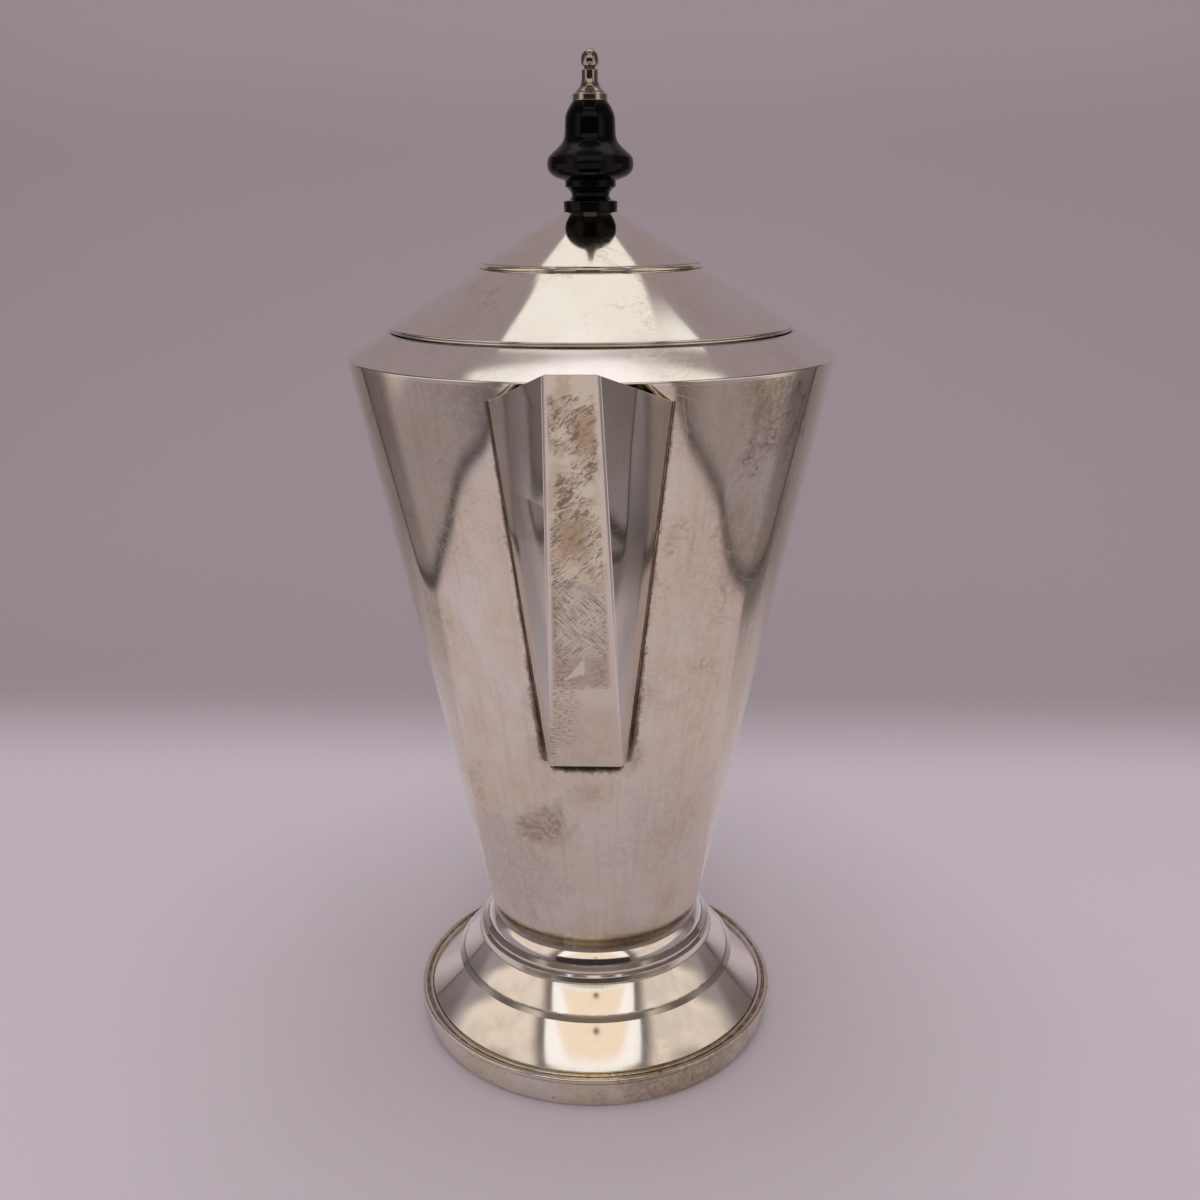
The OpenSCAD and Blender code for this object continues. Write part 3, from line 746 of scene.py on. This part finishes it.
# Spout
toe_pt, lip_pt = np.array([0, TOE_Y, TOE_Z]), np.array([0, LIP_Y, LIP_Z])
run = lip_pt - toe_pt
strip_n = unit((0, -run[2], run[1]))
edge_toe, edge_lip = toe_pt + (TOE_HALF, 0, 0), lip_pt + (LIP_HALF, 0, 0)
corner = np.array([CORNER_X, -math.sqrt(body_r(CORNER_Z) ** 2 - CORNER_X ** 2), CORNER_Z])
cheek_n = unit(np.cross(corner - edge_toe, edge_lip - edge_toe))
mouth_n = unit((0, LIP_Z - corner[2], corner[1] - LIP_Y))


def meet(*planes):
    """Point where three planes (normal, point) meet."""
    return np.linalg.solve(np.array([n for n, _ in planes]), np.array([n @ np.asarray(p) for n, p in planes]))


STRIP, STRIP_IN = (strip_n, toe_pt), (strip_n, toe_pt - strip_n * SHEET)
CHEEK, CHEEK_IN = (cheek_n, edge_toe), (cheek_n, edge_toe - cheek_n * SHEET)
MOUTH, LOW = (mouth_n, lip_pt), (np.array([0, 0, 1.0]), toe_pt)


def on_body(plane, z):
    """Point of a slanted plane on the body's outer face at height z, in front and to the right."""
    n, p = plane
    d = n @ np.asarray(p) - n[2] * z
    h = math.hypot(n[0], n[1])
    r, m, a = body_r(z), d / h, math.atan2(n[1], n[0])
    w = math.acos(max(-1, min(1, m / r)))
    found = [np.array([r * cos(a + s * w), r * sin(a + s * w), z]) for s in (-1, 1)]
    return min(found, key=lambda q: q[1])


def on_wall_at(x, z, out=0.0):
    """Point in front on the body at x and height z, out mm from its face."""
    r = body_r(z) + out
    return x, -math.sqrt(r * r - x * x), z


def mirrored(points):
    return [(-p[0], p[1], p[2]) for p in points]


def between(plane, side_plane, n):
    """Points along the line where two planes meet, from the toe to the mouth."""
    low, high = meet(plane, side_plane, LOW), meet(plane, side_plane, MOUTH)
    return [low * (1 - t) + high * t for t in np.linspace(0, 1, n)]


strip_sides = zip(between(STRIP, CHEEK, 41), between(STRIP_IN, CHEEK, 41))
strip_rings = [[a, b, *mirrored([b, a])] for a, b in strip_sides]
toe = [meet(STRIP_IN, CHEEK_IN, LOW), on_body(CHEEK_IN, TOE_Z)]
toe_back = [on_wall_at(x, TOE_Z) for x in np.linspace(toe[1][0], -toe[1][0], 9)[1:-1]]
toe_outline = [*toe, *toe_back, *mirrored(toe[::-1])]
toe_solid = loft([[(p[0], p[1], p[2] + dz) for p in toe_outline] for dz in (0.45, SHEET)], True)
strip = bevelled("spout_strip_form", [loft(strip_rings, True), toe_solid], 0.38, 4)
dress(strip, "pot", "spout_front_strip", strip_metal)

# Dirt across a joint from the cheek to the wall, at its upper and its lower end
JOINT_DIRT = ((0.0, 0.0), (-0.30, -0.50), (-0.85, -1.0), (-0.10, -0.8), (-0.85, -1.0), (-0.30, -0.60),
              (-0.10, -0.30), (0.0, 0.0))
# How far the ribbon of dirt reaches over the cheek and over the wall, and how far off their faces it lies
OVER_CHEEK, OVER_WALL, LIFT = (1.3, 0.75, 0.35), (0.35, 0.8, 1.6, 2.6), 0.03
CHEEK_ROWS = 40


def dirt_and_shadow_on(obj, verts, faces, weights):
    """A ribbon of solder and dirt along a joint, or of painted shadow and dirt under the strip's end, that goes
    with a piece of the spout.
    """
    ribbon = make(obj.name + "_solder_and_shadow", verts, faces, None, weights)
    ribbon.data.materials.append(solder_dirt_and_shadow)
    ribbon.parent = obj


def cheek(name, node, material, flip):
    """One flat side of the spout with its solder fillet on the body."""
    def side(points):
        return mirrored(points) if flip else [tuple(p) for p in points]

    n = CHEEK_ROWS
    back_out = [on_body(CHEEK, z) for z in np.linspace(TOE_Z, CORNER_Z, n)]
    back_in = [on_body(CHEEK_IN, z) for z in np.linspace(TOE_Z, CORNER_Z - 0.2, n)]
    front_out, front_in = between(STRIP_IN, CHEEK, n), between(STRIP_IN, CHEEK_IN, n)
    plate = loft([side(ring) for ring in zip(front_out, back_out, back_in, front_in)], True)
    obj = dress(bevelled(name, [plate], 0.22, 3), "pot", node, material)
    points, weights = [], []
    for j, p in enumerate(back_out):
        tangent = unit(back_out[min(j + 1, n - 1)] - back_out[max(j - 1, 0)])
        face_n = unit((p[0], p[1], -LEAN * math.hypot(p[0], p[1])))
        on_cheek = unit(np.cross(tangent, cheek_n))
        if on_cheek @ (front_out[j] - p) < 0:
            on_cheek = -on_cheek
        on_wall = unit(np.cross(tangent, face_n))
        if on_wall @ cheek_n < 0:
            on_wall = -on_wall
        size = 1.0 - 0.35 * j / n
        low = max(0.0, min(1.0, (0.36 - j / n) / 0.34))
        points += [p + on_cheek * size * d + cheek_n * LIFT for d in OVER_CHEEK]
        points.append(p + (on_cheek + on_wall) * size * 0.08 + (cheek_n + face_n) * LIFT)
        points += [p + on_wall * size * d + face_n * LIFT for d in OVER_WALL]
        weights += [(a + (b - a) * low) * min(1.0, 0.35 + j / 4) for a, b in JOINT_DIRT]
    faces = quads(n, len(JOINT_DIRT))
    dirt_and_shadow_on(obj, side(points), faces if flip else [f[::-1] for f in faces], weights)


cheek("spout_right_form", "spout_right_cheek", cheek_right, False)
cheek("spout_left_form", "spout_left_cheek", cheek_left, True)

# Painted shadow, with dirt, on the body under the strip's square end: height and weight of each row
TOE_SHADOW_AND_DIRT = ((98.75, -1.2), (97.5, -1.2), (96.9, -0.8), (96.1, -0.3), (94.9, 0.0))
TOE_COLS, TOE_SPAN = 25, 19.6
points, weights = [], []
for z, weight in TOE_SHADOW_AND_DIRT:
    for k in range(TOE_COLS):
        x, y, _ = on_wall_at((k / (TOE_COLS - 1) - 0.5) * TOE_SPAN, z, LIFT)
        drop = 0.10 * sin(k * 0.9) + 0.06 * sin(k * 2.3) if weight > -1.0 else 0.0
        points.append((x, y, z + drop))
        weights.append(weight * min(1.0, k / 2, (TOE_COLS - 1 - k) / 2))
dirt_and_shadow_on(strip, points, [f[:1] + f[:0:-1] for f in quads(len(TOE_SHADOW_AND_DIRT), TOE_COLS)], weights)

# Handle
GRIP_W, GRIP_D, BEND = 13.0, 18.0, 20.0
GRIP_FLAT = (GRIP_D - GRIP_W) / 2
UPPER_Z, LOWER_Z = 176.0, 92.0
SOCKET_REACH, SOCKET_LIP, FILLET, FINGER_GAP = 13.0, 0.45, 1.6, 32.0
GRIP_IN, PIN_IN, PIN_R, PIN_PROUD = 9.0, 4.5, 1.6, 0.15
QUARTER = pi / 2
ends = {z: body_r(z) + SOCKET_REACH for z in (UPPER_Z, LOWER_Z)}
lean = math.atan(LEAN)


def stadium(grow):
    """Section of the grip: x and depth, half round at both ends of its depth."""
    r = GRIP_W / 2 + grow
    top = [(r * cos(t), GRIP_FLAT + r * sin(t)) for t in np.linspace(0, pi, 32)]
    return top + [(-x, -d) for x, d in top]


def socket(name, node, z):
    end, section, rings = ends[z], stadium(SHEET), []
    for a in np.linspace(0, QUARTER, 7):
        grow, dy = FILLET * (1 - sin(a)), FILLET * (1 - cos(a)) - 0.02
        ring = []
        for x, d in section:
            more = 1 + grow / math.hypot(x, d)
            px, pz = x * more, z + d * more
            ring.append((px, math.sqrt(body_r(pz) ** 2 - px * px) + dy, pz))
        rings.append(ring)
    lip = [(-SOCKET_LIP * (1 - cos(a)), -SOCKET_LIP + SOCKET_LIP * sin(a))
           for a in np.linspace(0, QUARTER, 6)]
    for grow, dy in [(0, -1.0), *lip, (-0.7, 0), (-0.95, -0.05), (-1.05, -0.3), (-1.05, -2.5)]:
        rings.append([(x, end + dy, z + d) for x, d in stadium(SHEET + grow)])
    points, faces = loft(rings)
    dress(make(name, points, [f[::-1] for f in faces]), "pot", node, foot_silver)


socket("handle_upper_socket_form", "handle_upper_socket", UPPER_Z)
socket("handle_lower_socket_form", "handle_lower_socket", LOWER_Z)

upper_z, lower_z = UPPER_Z - BEND, LOWER_Z + BEND
grip_run = (upper_z - lower_z) / cos(lean)
bend_y = body_r(upper_z - BEND * sin(lean)) + (FINGER_GAP + GRIP_D / 2) / cos(lean)
bend_y -= BEND * cos(lean)
low_y = bend_y - grip_run * sin(lean)


def corner_path(y, z, a0, a1):
    return [(y + BEND * cos(a), z + BEND * sin(a), a) for a in np.linspace(a0, a1, 30)]


path = [(y, UPPER_Z, QUARTER) for y in np.linspace(ends[UPPER_Z] - GRIP_IN, bend_y, 12)[:-1]]
path += corner_path(bend_y, upper_z, QUARTER, -lean)
top_y, top_z, _ = path[-1]
path += [(top_y - grip_run * t * sin(lean), top_z - grip_run * t * cos(lean), -lean)
         for t in np.linspace(0, 1, 10)[1:-1]]
path += corner_path(low_y, lower_z, -lean, -QUARTER)
path += [(y, LOWER_Z, -QUARTER) for y in np.linspace(low_y, ends[LOWER_Z] - GRIP_IN, 12)[1:]]
section = stadium(-0.02)
grip_rings, grip_normals = [], []
for y, z, a in path:
    grip_rings.append([(x, y + d * cos(a), z + d * sin(a)) for x, d in section])
    for x, d in section:
        m = unit((x, math.copysign(max(abs(d) - GRIP_FLAT, 0), d)))
        grip_normals.append((m[0], m[1] * cos(a), m[1] * sin(a)))
points, faces = loft(grip_rings, True)
grip = make("handle_grip_form", points, [f[::-1] for f in faces], grip_normals)
dress(grip, "pot", "handle_grip", grip_black)


def turned_on_x(name, places, rows):
    """Round rows (r, x) turned about X at each place, as one object."""
    all_v, all_f, all_n, all_e = [], [], [], []
    for px, py, pz in places:
        vs, fs, ns, es, _ = lathe_data(rows, 48, False)
        base = len(all_v)
        all_v += [(px + v[2], py + v[1], pz - v[0]) for v in vs]
        all_n += [(v[2], v[1], -v[0]) for v in ns]
        all_f += [[base + i for i in f] for f in fs]
        all_e += es
    return make(name, all_v, all_f, all_n, all_e)


half_pin = GRIP_W / 2 + SHEET + PIN_PROUD
pin_outline = [(0, -half_pin), (PIN_R, -half_pin, 0.2), (PIN_R, half_pin, 0.2), (0, half_pin)]
pins = turned_on_x("handle_pins_form", [(0, ends[z] - PIN_IN, z) for z in (UPPER_Z, LOWER_Z)],
                   rounded(pin_outline, 0.2, closed=False))
dress(pins, "pot", "handle_pins", fixing_silver)

# Hinge
POST_IN, POST_OUT, POST_BACK, POST_FRONT, PLATE_FRONT = 4.836, 10.8, 62.5, 55.4, 61.3
STRAP_HALF, STRAP_END = 4.536, 40.4
HINGE_PIN_R, HEAD_R, HEAD_END = 1.2, 1.86, 11.5


def on_ring(y):
    """Point just under the shoulder ring's sloping face."""
    return y, MOUTH_Z - (y - LID_R) * RISE - 0.25


def on_lid(y, up):
    """Point over the lid's sloping face."""
    return y, LID_Z + (LID_R - y) * RISE + up


def knuckle(a0, a1, n):
    return arc(HINGE_Y, HINGE_Z, KNUCKLE_R, a0, a1, n)


post = [on_ring(POST_FRONT), on_ring(POST_BACK), (POST_BACK, HINGE_Z)] + knuckle(0, 180, 25)
plate = [on_ring(PLATE_FRONT), on_ring(POST_BACK), (POST_BACK, HINGE_Z), (PLATE_FRONT, HINGE_Z)]
fixed = bevelled("hinge_fixed_form", [prism(post, POST_IN, POST_OUT), prism(post, -POST_OUT, -POST_IN),
                                      prism(plate, -4.9, 4.9)], 0.22, 3)
dress(fixed, "pot", "hinge_fixed_leaf", foot_silver)
pin_outline = [(0, -HEAD_END), (HEAD_R, -HEAD_END, 0.45), (HEAD_R, -POST_OUT), (HINGE_PIN_R, -POST_OUT),
               (HINGE_PIN_R, POST_OUT), (HEAD_R, POST_OUT), (HEAD_R, HEAD_END, 0.45), (0, HEAD_END)]
hinge_pin = turned_on_x("hinge_pin_form", [(0, HINGE_Y, HINGE_Z)], rounded(pin_outline, 0.1, closed=False))
dress(hinge_pin, "pot", "hinge_pin", fixing_silver)
strap = knuckle(-60, 90, 20) + [on_lid(51.4, 1.5), on_lid(STRAP_END, 0.9), on_lid(STRAP_END, -0.3)]
strap += [on_lid(52.8, -0.3), (LID_R, 205.769), (56.2, 205.2), (57.0, HINGE_Z - 2.83)]
leaf = bevelled("lid_hinge_form", [prism(strap, -STRAP_HALF, STRAP_HALF)], 0.2, 3)
dress(leaf, "lid", "lid_hinge_leaf", lid_silver)

# Lid
under_z = LID_TOP_Z - ROOF_V
lid = [(LID_R, LID_Z, 0.3), (28.9, 220.19, 0.25)] + arc(28.55, 220.69, 0.6, -40, 110, 9)
lid += [(27.95, 221.34, 0.3), (7.05, LID_TOP_Z, 0.3), (1.55, LID_TOP_Z), (1.55, under_z), (7.05, under_z),
        (28.2, 221.19 - ROOF_V), (28.9, 220.19 - ROOF_V), (LID_R - ROOF_H, LID_Z)]
dress(lathe("lid_shell_form", rounded(lid, 0.15)), "lid", "lid_shell", lid_silver)
plug = [(49.6, 198.469), (51.0, 198.469), (51.0, 204.969), (52.9, 204.969), (52.9, 205.45), (49.6, 205.45)]
dress(lathe("lid_bezel_form", rounded(plug, 0.2)), "lid", "lid_bezel", inner_silver)

# Finial
KNOB_TOP_Z, STUD_R, ROOT_R, BORE_R, THREAD_STEP = 260.5, 1.5, 1.22, 1.55, 0.5
WASHER_H, NUT_H, NUT_R = 1.0, 2.4, 3.204
knob = [(1.6, LID_TOP_Z), (6.85, LID_TOP_Z), (6.95, 236.55), (5.35, 236.95), (4.78, 237.8), (4.93, 238.6),
        (5.4, 239.3), (6.0, 239.8), (6.5, 240.1), (6.5, 241.5), (7.3, 241.8), (8.2, 242.1), (9.05, 242.45),
        (9.8, 242.9), (10.4, 243.5), (10.85, 244.2), (11.07, 245.35), (10.96, 246.5), (10.72, 247.2),
        (10.28, 247.75), (9.67, 248.35), (8.95, 248.95),
        (8.3, 249.55), (7.67, 250.15), (7.2, 250.7), (6.85, 251.3), (6.62, 252.0), (6.48, 252.8), (6.43, 254.0),
        (6.38, 255.4), (6.32, 256.5), (6.15, 257.4), (5.74, 258.4), (5.25, 259.3), (4.7, 260.1),
        (4.35, KNOB_TOP_Z), (1.6, KNOB_TOP_Z)]
dress(lathe("finial_knob_form", rounded(knob, 0.22, 4), 160), "lid", "finial_knob", knob_black)
tip = [(0, KNOB_TOP_Z), (4.5, KNOB_TOP_Z, 0.2), (4.5, 262.0, 0.2), (4.2, 262.35), (3.81, 262.5),
       (3.5, 262.9), (3.0, 263.4), (2.5, 264.1), (2.17, 265.0), (2.05, 265.9), (2.06, 267.2),
       (2.06, 267.8, 0.12), (1.35, 268.05, 0.1),
       (1.35, 268.5, 0.1), (1.8, 268.72), (2.1, 269.1), (2.22, 269.6), (2.24, 270.1), (2.16, 270.8),
       (1.95, 271.4), (1.6, 271.95), (1.1, 272.38), (0.5, 272.63), (0, 272.69)]
dress(lathe("finial_tip_form", rounded(tip, 0.15, 4, False), 96, False), "lid", "finial_tip", tip_silver)
nut_z = under_z - WASHER_H
washer = [(BORE_R, nut_z), (4.8, nut_z, 0.25), (4.8, under_z - 0.02), (BORE_R, under_z - 0.02)]
dress(lathe("finial_washer_form", rounded(washer, 0.1), 96), "lid", "finial_washer", fixing_silver)
hexagon = [(NUT_R * cos(t), NUT_R * sin(t)) for t in np.arange(6) * pi / 3]
nut_rows = ((0.90, 0.02), (1, 0.3), (1, 2.1), (0.90, NUT_H))
nut_rings = [[(x * s, y * s, nut_z - d) for x, y in hexagon] for s, d in nut_rows]
nut = bevelled("finial_nut_form", [loft(nut_rings, True)], 0.08, 2)
dress(nut, "lid", "finial_nut", fixing_silver)
low_z = nut_z - 3.2
thread = [(0, low_z), (1.2, low_z)]
z = low_z + 0.15
while z < nut_z - 2.2:
    thread += [(STUD_R, z), (STUD_R, z + 0.1), (ROOT_R, z + 0.25), (ROOT_R, z + 0.35)]
    z += THREAD_STEP
thread += [(STUD_R, nut_z - 2.0), (STUD_R, 262.5), (0, 262.5)]
stud = lathe("finial_stud_form", rounded(thread, 0.04, 2, False), 48, False)
dress(stud, "lid", "finial_stud", fixing_silver)


# Stage, in metres
def sheet(name, rows, material, card=True):
    """Open grid of rows of points; a card shows in reflections only."""
    mesh = bpy.data.meshes.new(name)
    mesh.from_pydata([tuple(p) for row in rows for p in row], [], quads(len(rows), len(rows[0])))
    smooth(mesh)
    obj = add_object(name, mesh)
    mesh.materials.append(material)
    if card:
        obj.visible_camera = obj.visible_diffuse = obj.visible_transmission = False
        obj.visible_shadow = obj.visible_volume_scatter = False
    return obj


FLOOR_TONE, WALL_TONE, WALL_HIGH = rgb(187, 176, 183), rgb(150, 138, 144), rgb(172, 160, 163)
BEND_Y, BEND_R, FRONT_Y, WALL_TOP, HALF_W = 0.30, 0.5, -2.6, 2.2, 2.4


def backdrop():
    """Floor that sweeps up into a wall, painted darker from where it is out of the lamp's light and painted
    lighter again high up the wall.
    """
    mat, g = material("backdrop_paper")
    o, _, y, z = g.place(1)
    grain = g.noise(o, 3.0, 3.0).ramp(0.3, 0.7, 0.0, 0.05)
    tone = g.layers(g.mix(y.ramp(0.150, 0.265), FLOOR_TONE, WALL_TONE),
                    (z.ramp(0.27, 0.42, 0.0, 0.6), WALL_HIGH), (grain, (0.2, 0.17, 0.18)))
    g.end(g.add("BsdfDiffuse", {"Color": tone}))
    sweep = [(FRONT_Y, 0.0), (-0.6, 0.0), (BEND_Y, 0.0)]
    sweep += [(BEND_Y + BEND_R * sin(a), BEND_R - BEND_R * cos(a))
              for a in np.linspace(0.05, QUARTER, 20)]
    sweep.append((BEND_Y + BEND_R, WALL_TOP))
    sheet("backdrop", [[(x, y, z) for x in (-HALF_W, 0.0, HALF_W)] for y, z in sweep], mat, False)


backdrop()


def glow(name, build, faded=False):
    """Light card seen in reflections. build(g, o, x, y, z in mm) gives its colour; faded thins it at its edge."""
    mat, g = material(name)
    shader = g.add("Emission", {"Color": build(g, *g.place()), "Strength": 1.0})
    if faded:
        shader = g.blend(g.edge().ramp(0.0, 1.0), shader)
    g.end(shader)
    mat.cycles.emission_sampling = "NONE"
    return mat


def dark(name, first, second, scale=0.02, faded=False):
    return glow(name, lambda g, o, x, y, z: g.mix(g.noise(o, scale), first, second), faded)


def through(points, n=8):
    """Smooth line through the points (Catmull-Rom)."""
    p = [np.array(q, float) for q in (points[0], *points, points[-1])]
    out = []
    for a, b, c, d in zip(p, p[1:], p[2:], p[3:]):
        square, cube = 2 * a - 5 * b + 4 * c - d, 3 * b - a - 3 * c + d
        out += [tuple(0.5 * (2 * b + (c - a) * t + square * t * t + cube * t ** 3))
                for t in np.linspace(0, 1, n, endpoint=False)]
    return out + [tuple(p[-1])]


GREY, COOL, PINK = rgb(146, 135, 138), rgb(151, 141, 148), rgb(233, 219, 210)
DUSK, BAR, SHADE = rgb(52, 46, 47), rgb(112, 102, 101), rgb(112, 103, 105)
HIGH, DULL, CREAM = rgb(99, 90, 87), rgb(112, 98, 88), rgb(248, 229, 210)
WHITE, NEAR_WHITE, FAR_WHITE = (1.03, 1.0, 1.03), (1.09, 1.04, 1.12), (0.92, 0.885, 0.88)


def side_walls(g, o, x, y, z):
    lit = z.ramp(84, 116) * y.fall(-5, 62)
    patchy = g.mix(g.noise(o, 0.012, 2.0).ramp(0.35, 0.65, 0.0, 0.28), PINK, GREY)
    high = (z + y * 0.55).ramp(186, 245) * g.most(y.ramp(-240, -60), z.ramp(450, 520))
    return g.layers(
        g.mix(y.ramp(40, 85) * z.ramp(20, 100, 0.6, 1.0), COOL, SHADE),
        (lit, patchy), (high, HIGH),
        (y.ramp(-170, -280) * z.ramp(110, 50) * 0.4, DUSK), (z.ramp(0, 13, 0.9, 0.0), DUSK),
        (y.fall(-322, -250), BAR), (y.ramp(60, 260, 0.0, 0.35), DUSK))


def ceiling(g, o, x, y, z):
    """Two panels with a thin dull line between them: the ring mirrors the near one, the lid the far one."""
    q = x + 16.0
    bend = q * q
    across = abs(x + 4.0)
    near = ((y - bend * 0.00225).fall(98.5, 103.0) * x.window(-206, 206, 18)
            * g.most(y.ramp(50, 70), across.fall(153, 163)))
    left = x + y.ramp(168, 196, 168.0, 138.0) + y.ramp(205, 290, 0.0, 50.0, "LINEAR")
    tail_y = y - (x - 131.0) * 1.1
    tail = tail_y.fall(172, 222) * x.fall(206, 238)
    side_x = x - y.ramp(230, 370, 114.0, 190.0, "LINEAR")
    far = (y - bend * 0.0028).ramp(104.3, 106.3) * left.ramp(-7, 7) * g.most(side_x.fall(-7, 7), tail)
    panel = g.most(near, far) * y.ramp(-262, -250)
    hole = across.fall(130, 142) * y.window(-200, 62, 8)
    white = g.mix(y.ramp(95, 125), NEAR_WHITE, FAR_WHITE)
    return g.layers(g.mix(y.ramp(-60, 60), DULL, GREY), (panel, white), (hole, DULL))


def front_wall(g, o, x, y, z):
    away = abs(x)
    warm = (away + z * 0.30).fall(1040, 1200) * z.ramp(880, 960) * z.fall(1650, 2150)
    lit = g.mix(z.ramp(790, 880), DUSK, g.mix(warm, WHITE, CREAM))
    return g.layers(lit, (away.ramp(1140, 1260), BAR), (z.ramp(2330, 2450), DULL))


def rear_sheet(g, o, x, y, z):
    return g.layers(g.mix(z.ramp(0, 60), FLOOR_TONE, WALL_TONE),
                    (abs(x).ramp(110, 290, 0.0, 0.36) * z.fall(130, 240), DUSK),
                    (z.ramp(75, 20) * x.ramp(225, 270, 0.0, 0.6), DUSK))


# Cards round the pot, in metres: where the side cards stand on the floor, and the rear card's curve (y, z)
CARD_TOP, CARD_X, CARD_BACK = 0.6, 0.300, 0.60
FLOOR_EDGE = {
    "left": (-1, [(-0.297, 0.12), (-0.298, 0.06), (-0.314, -0.010), (-0.320, -0.075), (-0.328, -0.113),
                  (-0.322, -0.163), (-0.303, -0.205), (-0.283, -0.238), (-0.272, -0.275),
                  (-0.262, -0.31), (-0.252, -0.345)]),
    "right": (1, [(0.297, 0.12), (0.288, 0.06), (0.290, -0.024), (0.301, -0.075), (0.314, -0.114),
                  (0.307, -0.164), (0.296, -0.200), (0.281, -0.236), (0.273, -0.275),
                  (0.262, -0.31), (0.252, -0.345)])}
SEAM_FADE = ((0.020, 0.0), (0.008, 0.75), (0.0, 1.0))
curve = through([(0.06, 0.0008), (0.10, 0.002), (0.135, 0.007), (0.150, 0.018), (0.158, 0.042), (0.170, 0.075),
                 (0.183, 0.112), (0.198, 0.19), (0.212, 0.31), (0.226, 0.6)], 4)
wall_card = glow("card_side", side_walls)
# Dark cards of painted shade: the shadowed gap along the side cards' edges and the shadowed seam where they meet
# the floor
line_shade = dark("card_line_shade", (0.030, 0.026, 0.028), (0.05, 0.043, 0.044))
seam_shade = dark("card_seam_shade", (0.030, 0.026, 0.028), (0.06, 0.05, 0.05), faded=True)
for hand, (s, points) in FLOOR_EDGE.items():
    line = [(s * CARD_X, CARD_BACK), (s * CARD_X, 0.2)] + through(points)
    sheet("card_side_" + hand, [[(x, y, z) for x, y in line] for z in (0.0, CARD_TOP)], wall_card)
    seam = through(points[:-1])
    rows = [[(x - s * d, y, 0.0006) for x, y in seam] for d, _ in SEAM_FADE]
    ribbon = sheet("card_seam_shade_" + hand, rows, seam_shade)
    set_edge(ribbon.data, np.repeat([weight for _, weight in SEAM_FADE], len(seam)))
    sheet("card_line_shade_" + hand, [[(s * x, y, z + 0.0008) for x in (0.285, CARD_X)] for y, z in curve], line_shade)
sheet("card_ceiling", [[(x, y, CARD_TOP) for x in (-0.335, 0.335)] for y in (-0.345, CARD_BACK)],
      glow("card_ceiling", ceiling))
sheet("card_front", [[(x, -1.5, z) for x in (-2.2, 2.2)] for z in (0.0, 3.4)], glow("card_front", front_wall))
sheet("card_rear", [[(x, y, z) for x in (-0.298, 0.298)] for y, z in curve], glow("card_rear", rear_sheet))

# The lens, which the foot mirrors as dark dots
LENS_R, LENS_BACK = 0.014, 0.003
lens_ring = [(LENS_R * cos(t), LENS_R * sin(t)) for t in np.linspace(0, 2 * pi, 25)]
lens = [[(eye.x + x * k, eye.y - LENS_BACK, eye.z + z * k) for x, z in lens_ring] for k in (0.02, 1.0)]
sheet("card_lens", lens, dark("card_lens", (0.008, 0.008, 0.01), (0.014, 0.013, 0.016), 0.1))

world = bpy.data.worlds.new("studio")
bpy.context.scene.world = world
g = Nodes(world)
seen = g.most(*[g.add("LightPath", None, ray) for ray in ("Is Camera Ray", "Is Glossy Ray")])
g.end(g.add("Background", {"Color": g.mix(seen, (0.48, 0.47, 0.48), WALL_TONE)}), "OutputWorld")


def lamp(name, place, target, size, power):
    light = bpy.data.lights.new(name, "AREA")
    light.shape, light.size, light.energy = "DISK", size, power
    obj = add_object(name, light)
    obj.location = place
    obj.rotation_euler = (Vector(target) - Vector(place)).to_track_quat("-Z", "Y").to_euler()
    obj.visible_glossy = obj.visible_camera = False


lamp("key", (0.0, 0.02, 1.7), (0, 0.02, 0), 1.8, 21.5)
lamp("fill", (0.0, -1.5, 1.0), (0, 0.1, 0.0), 1.0, 3.4)
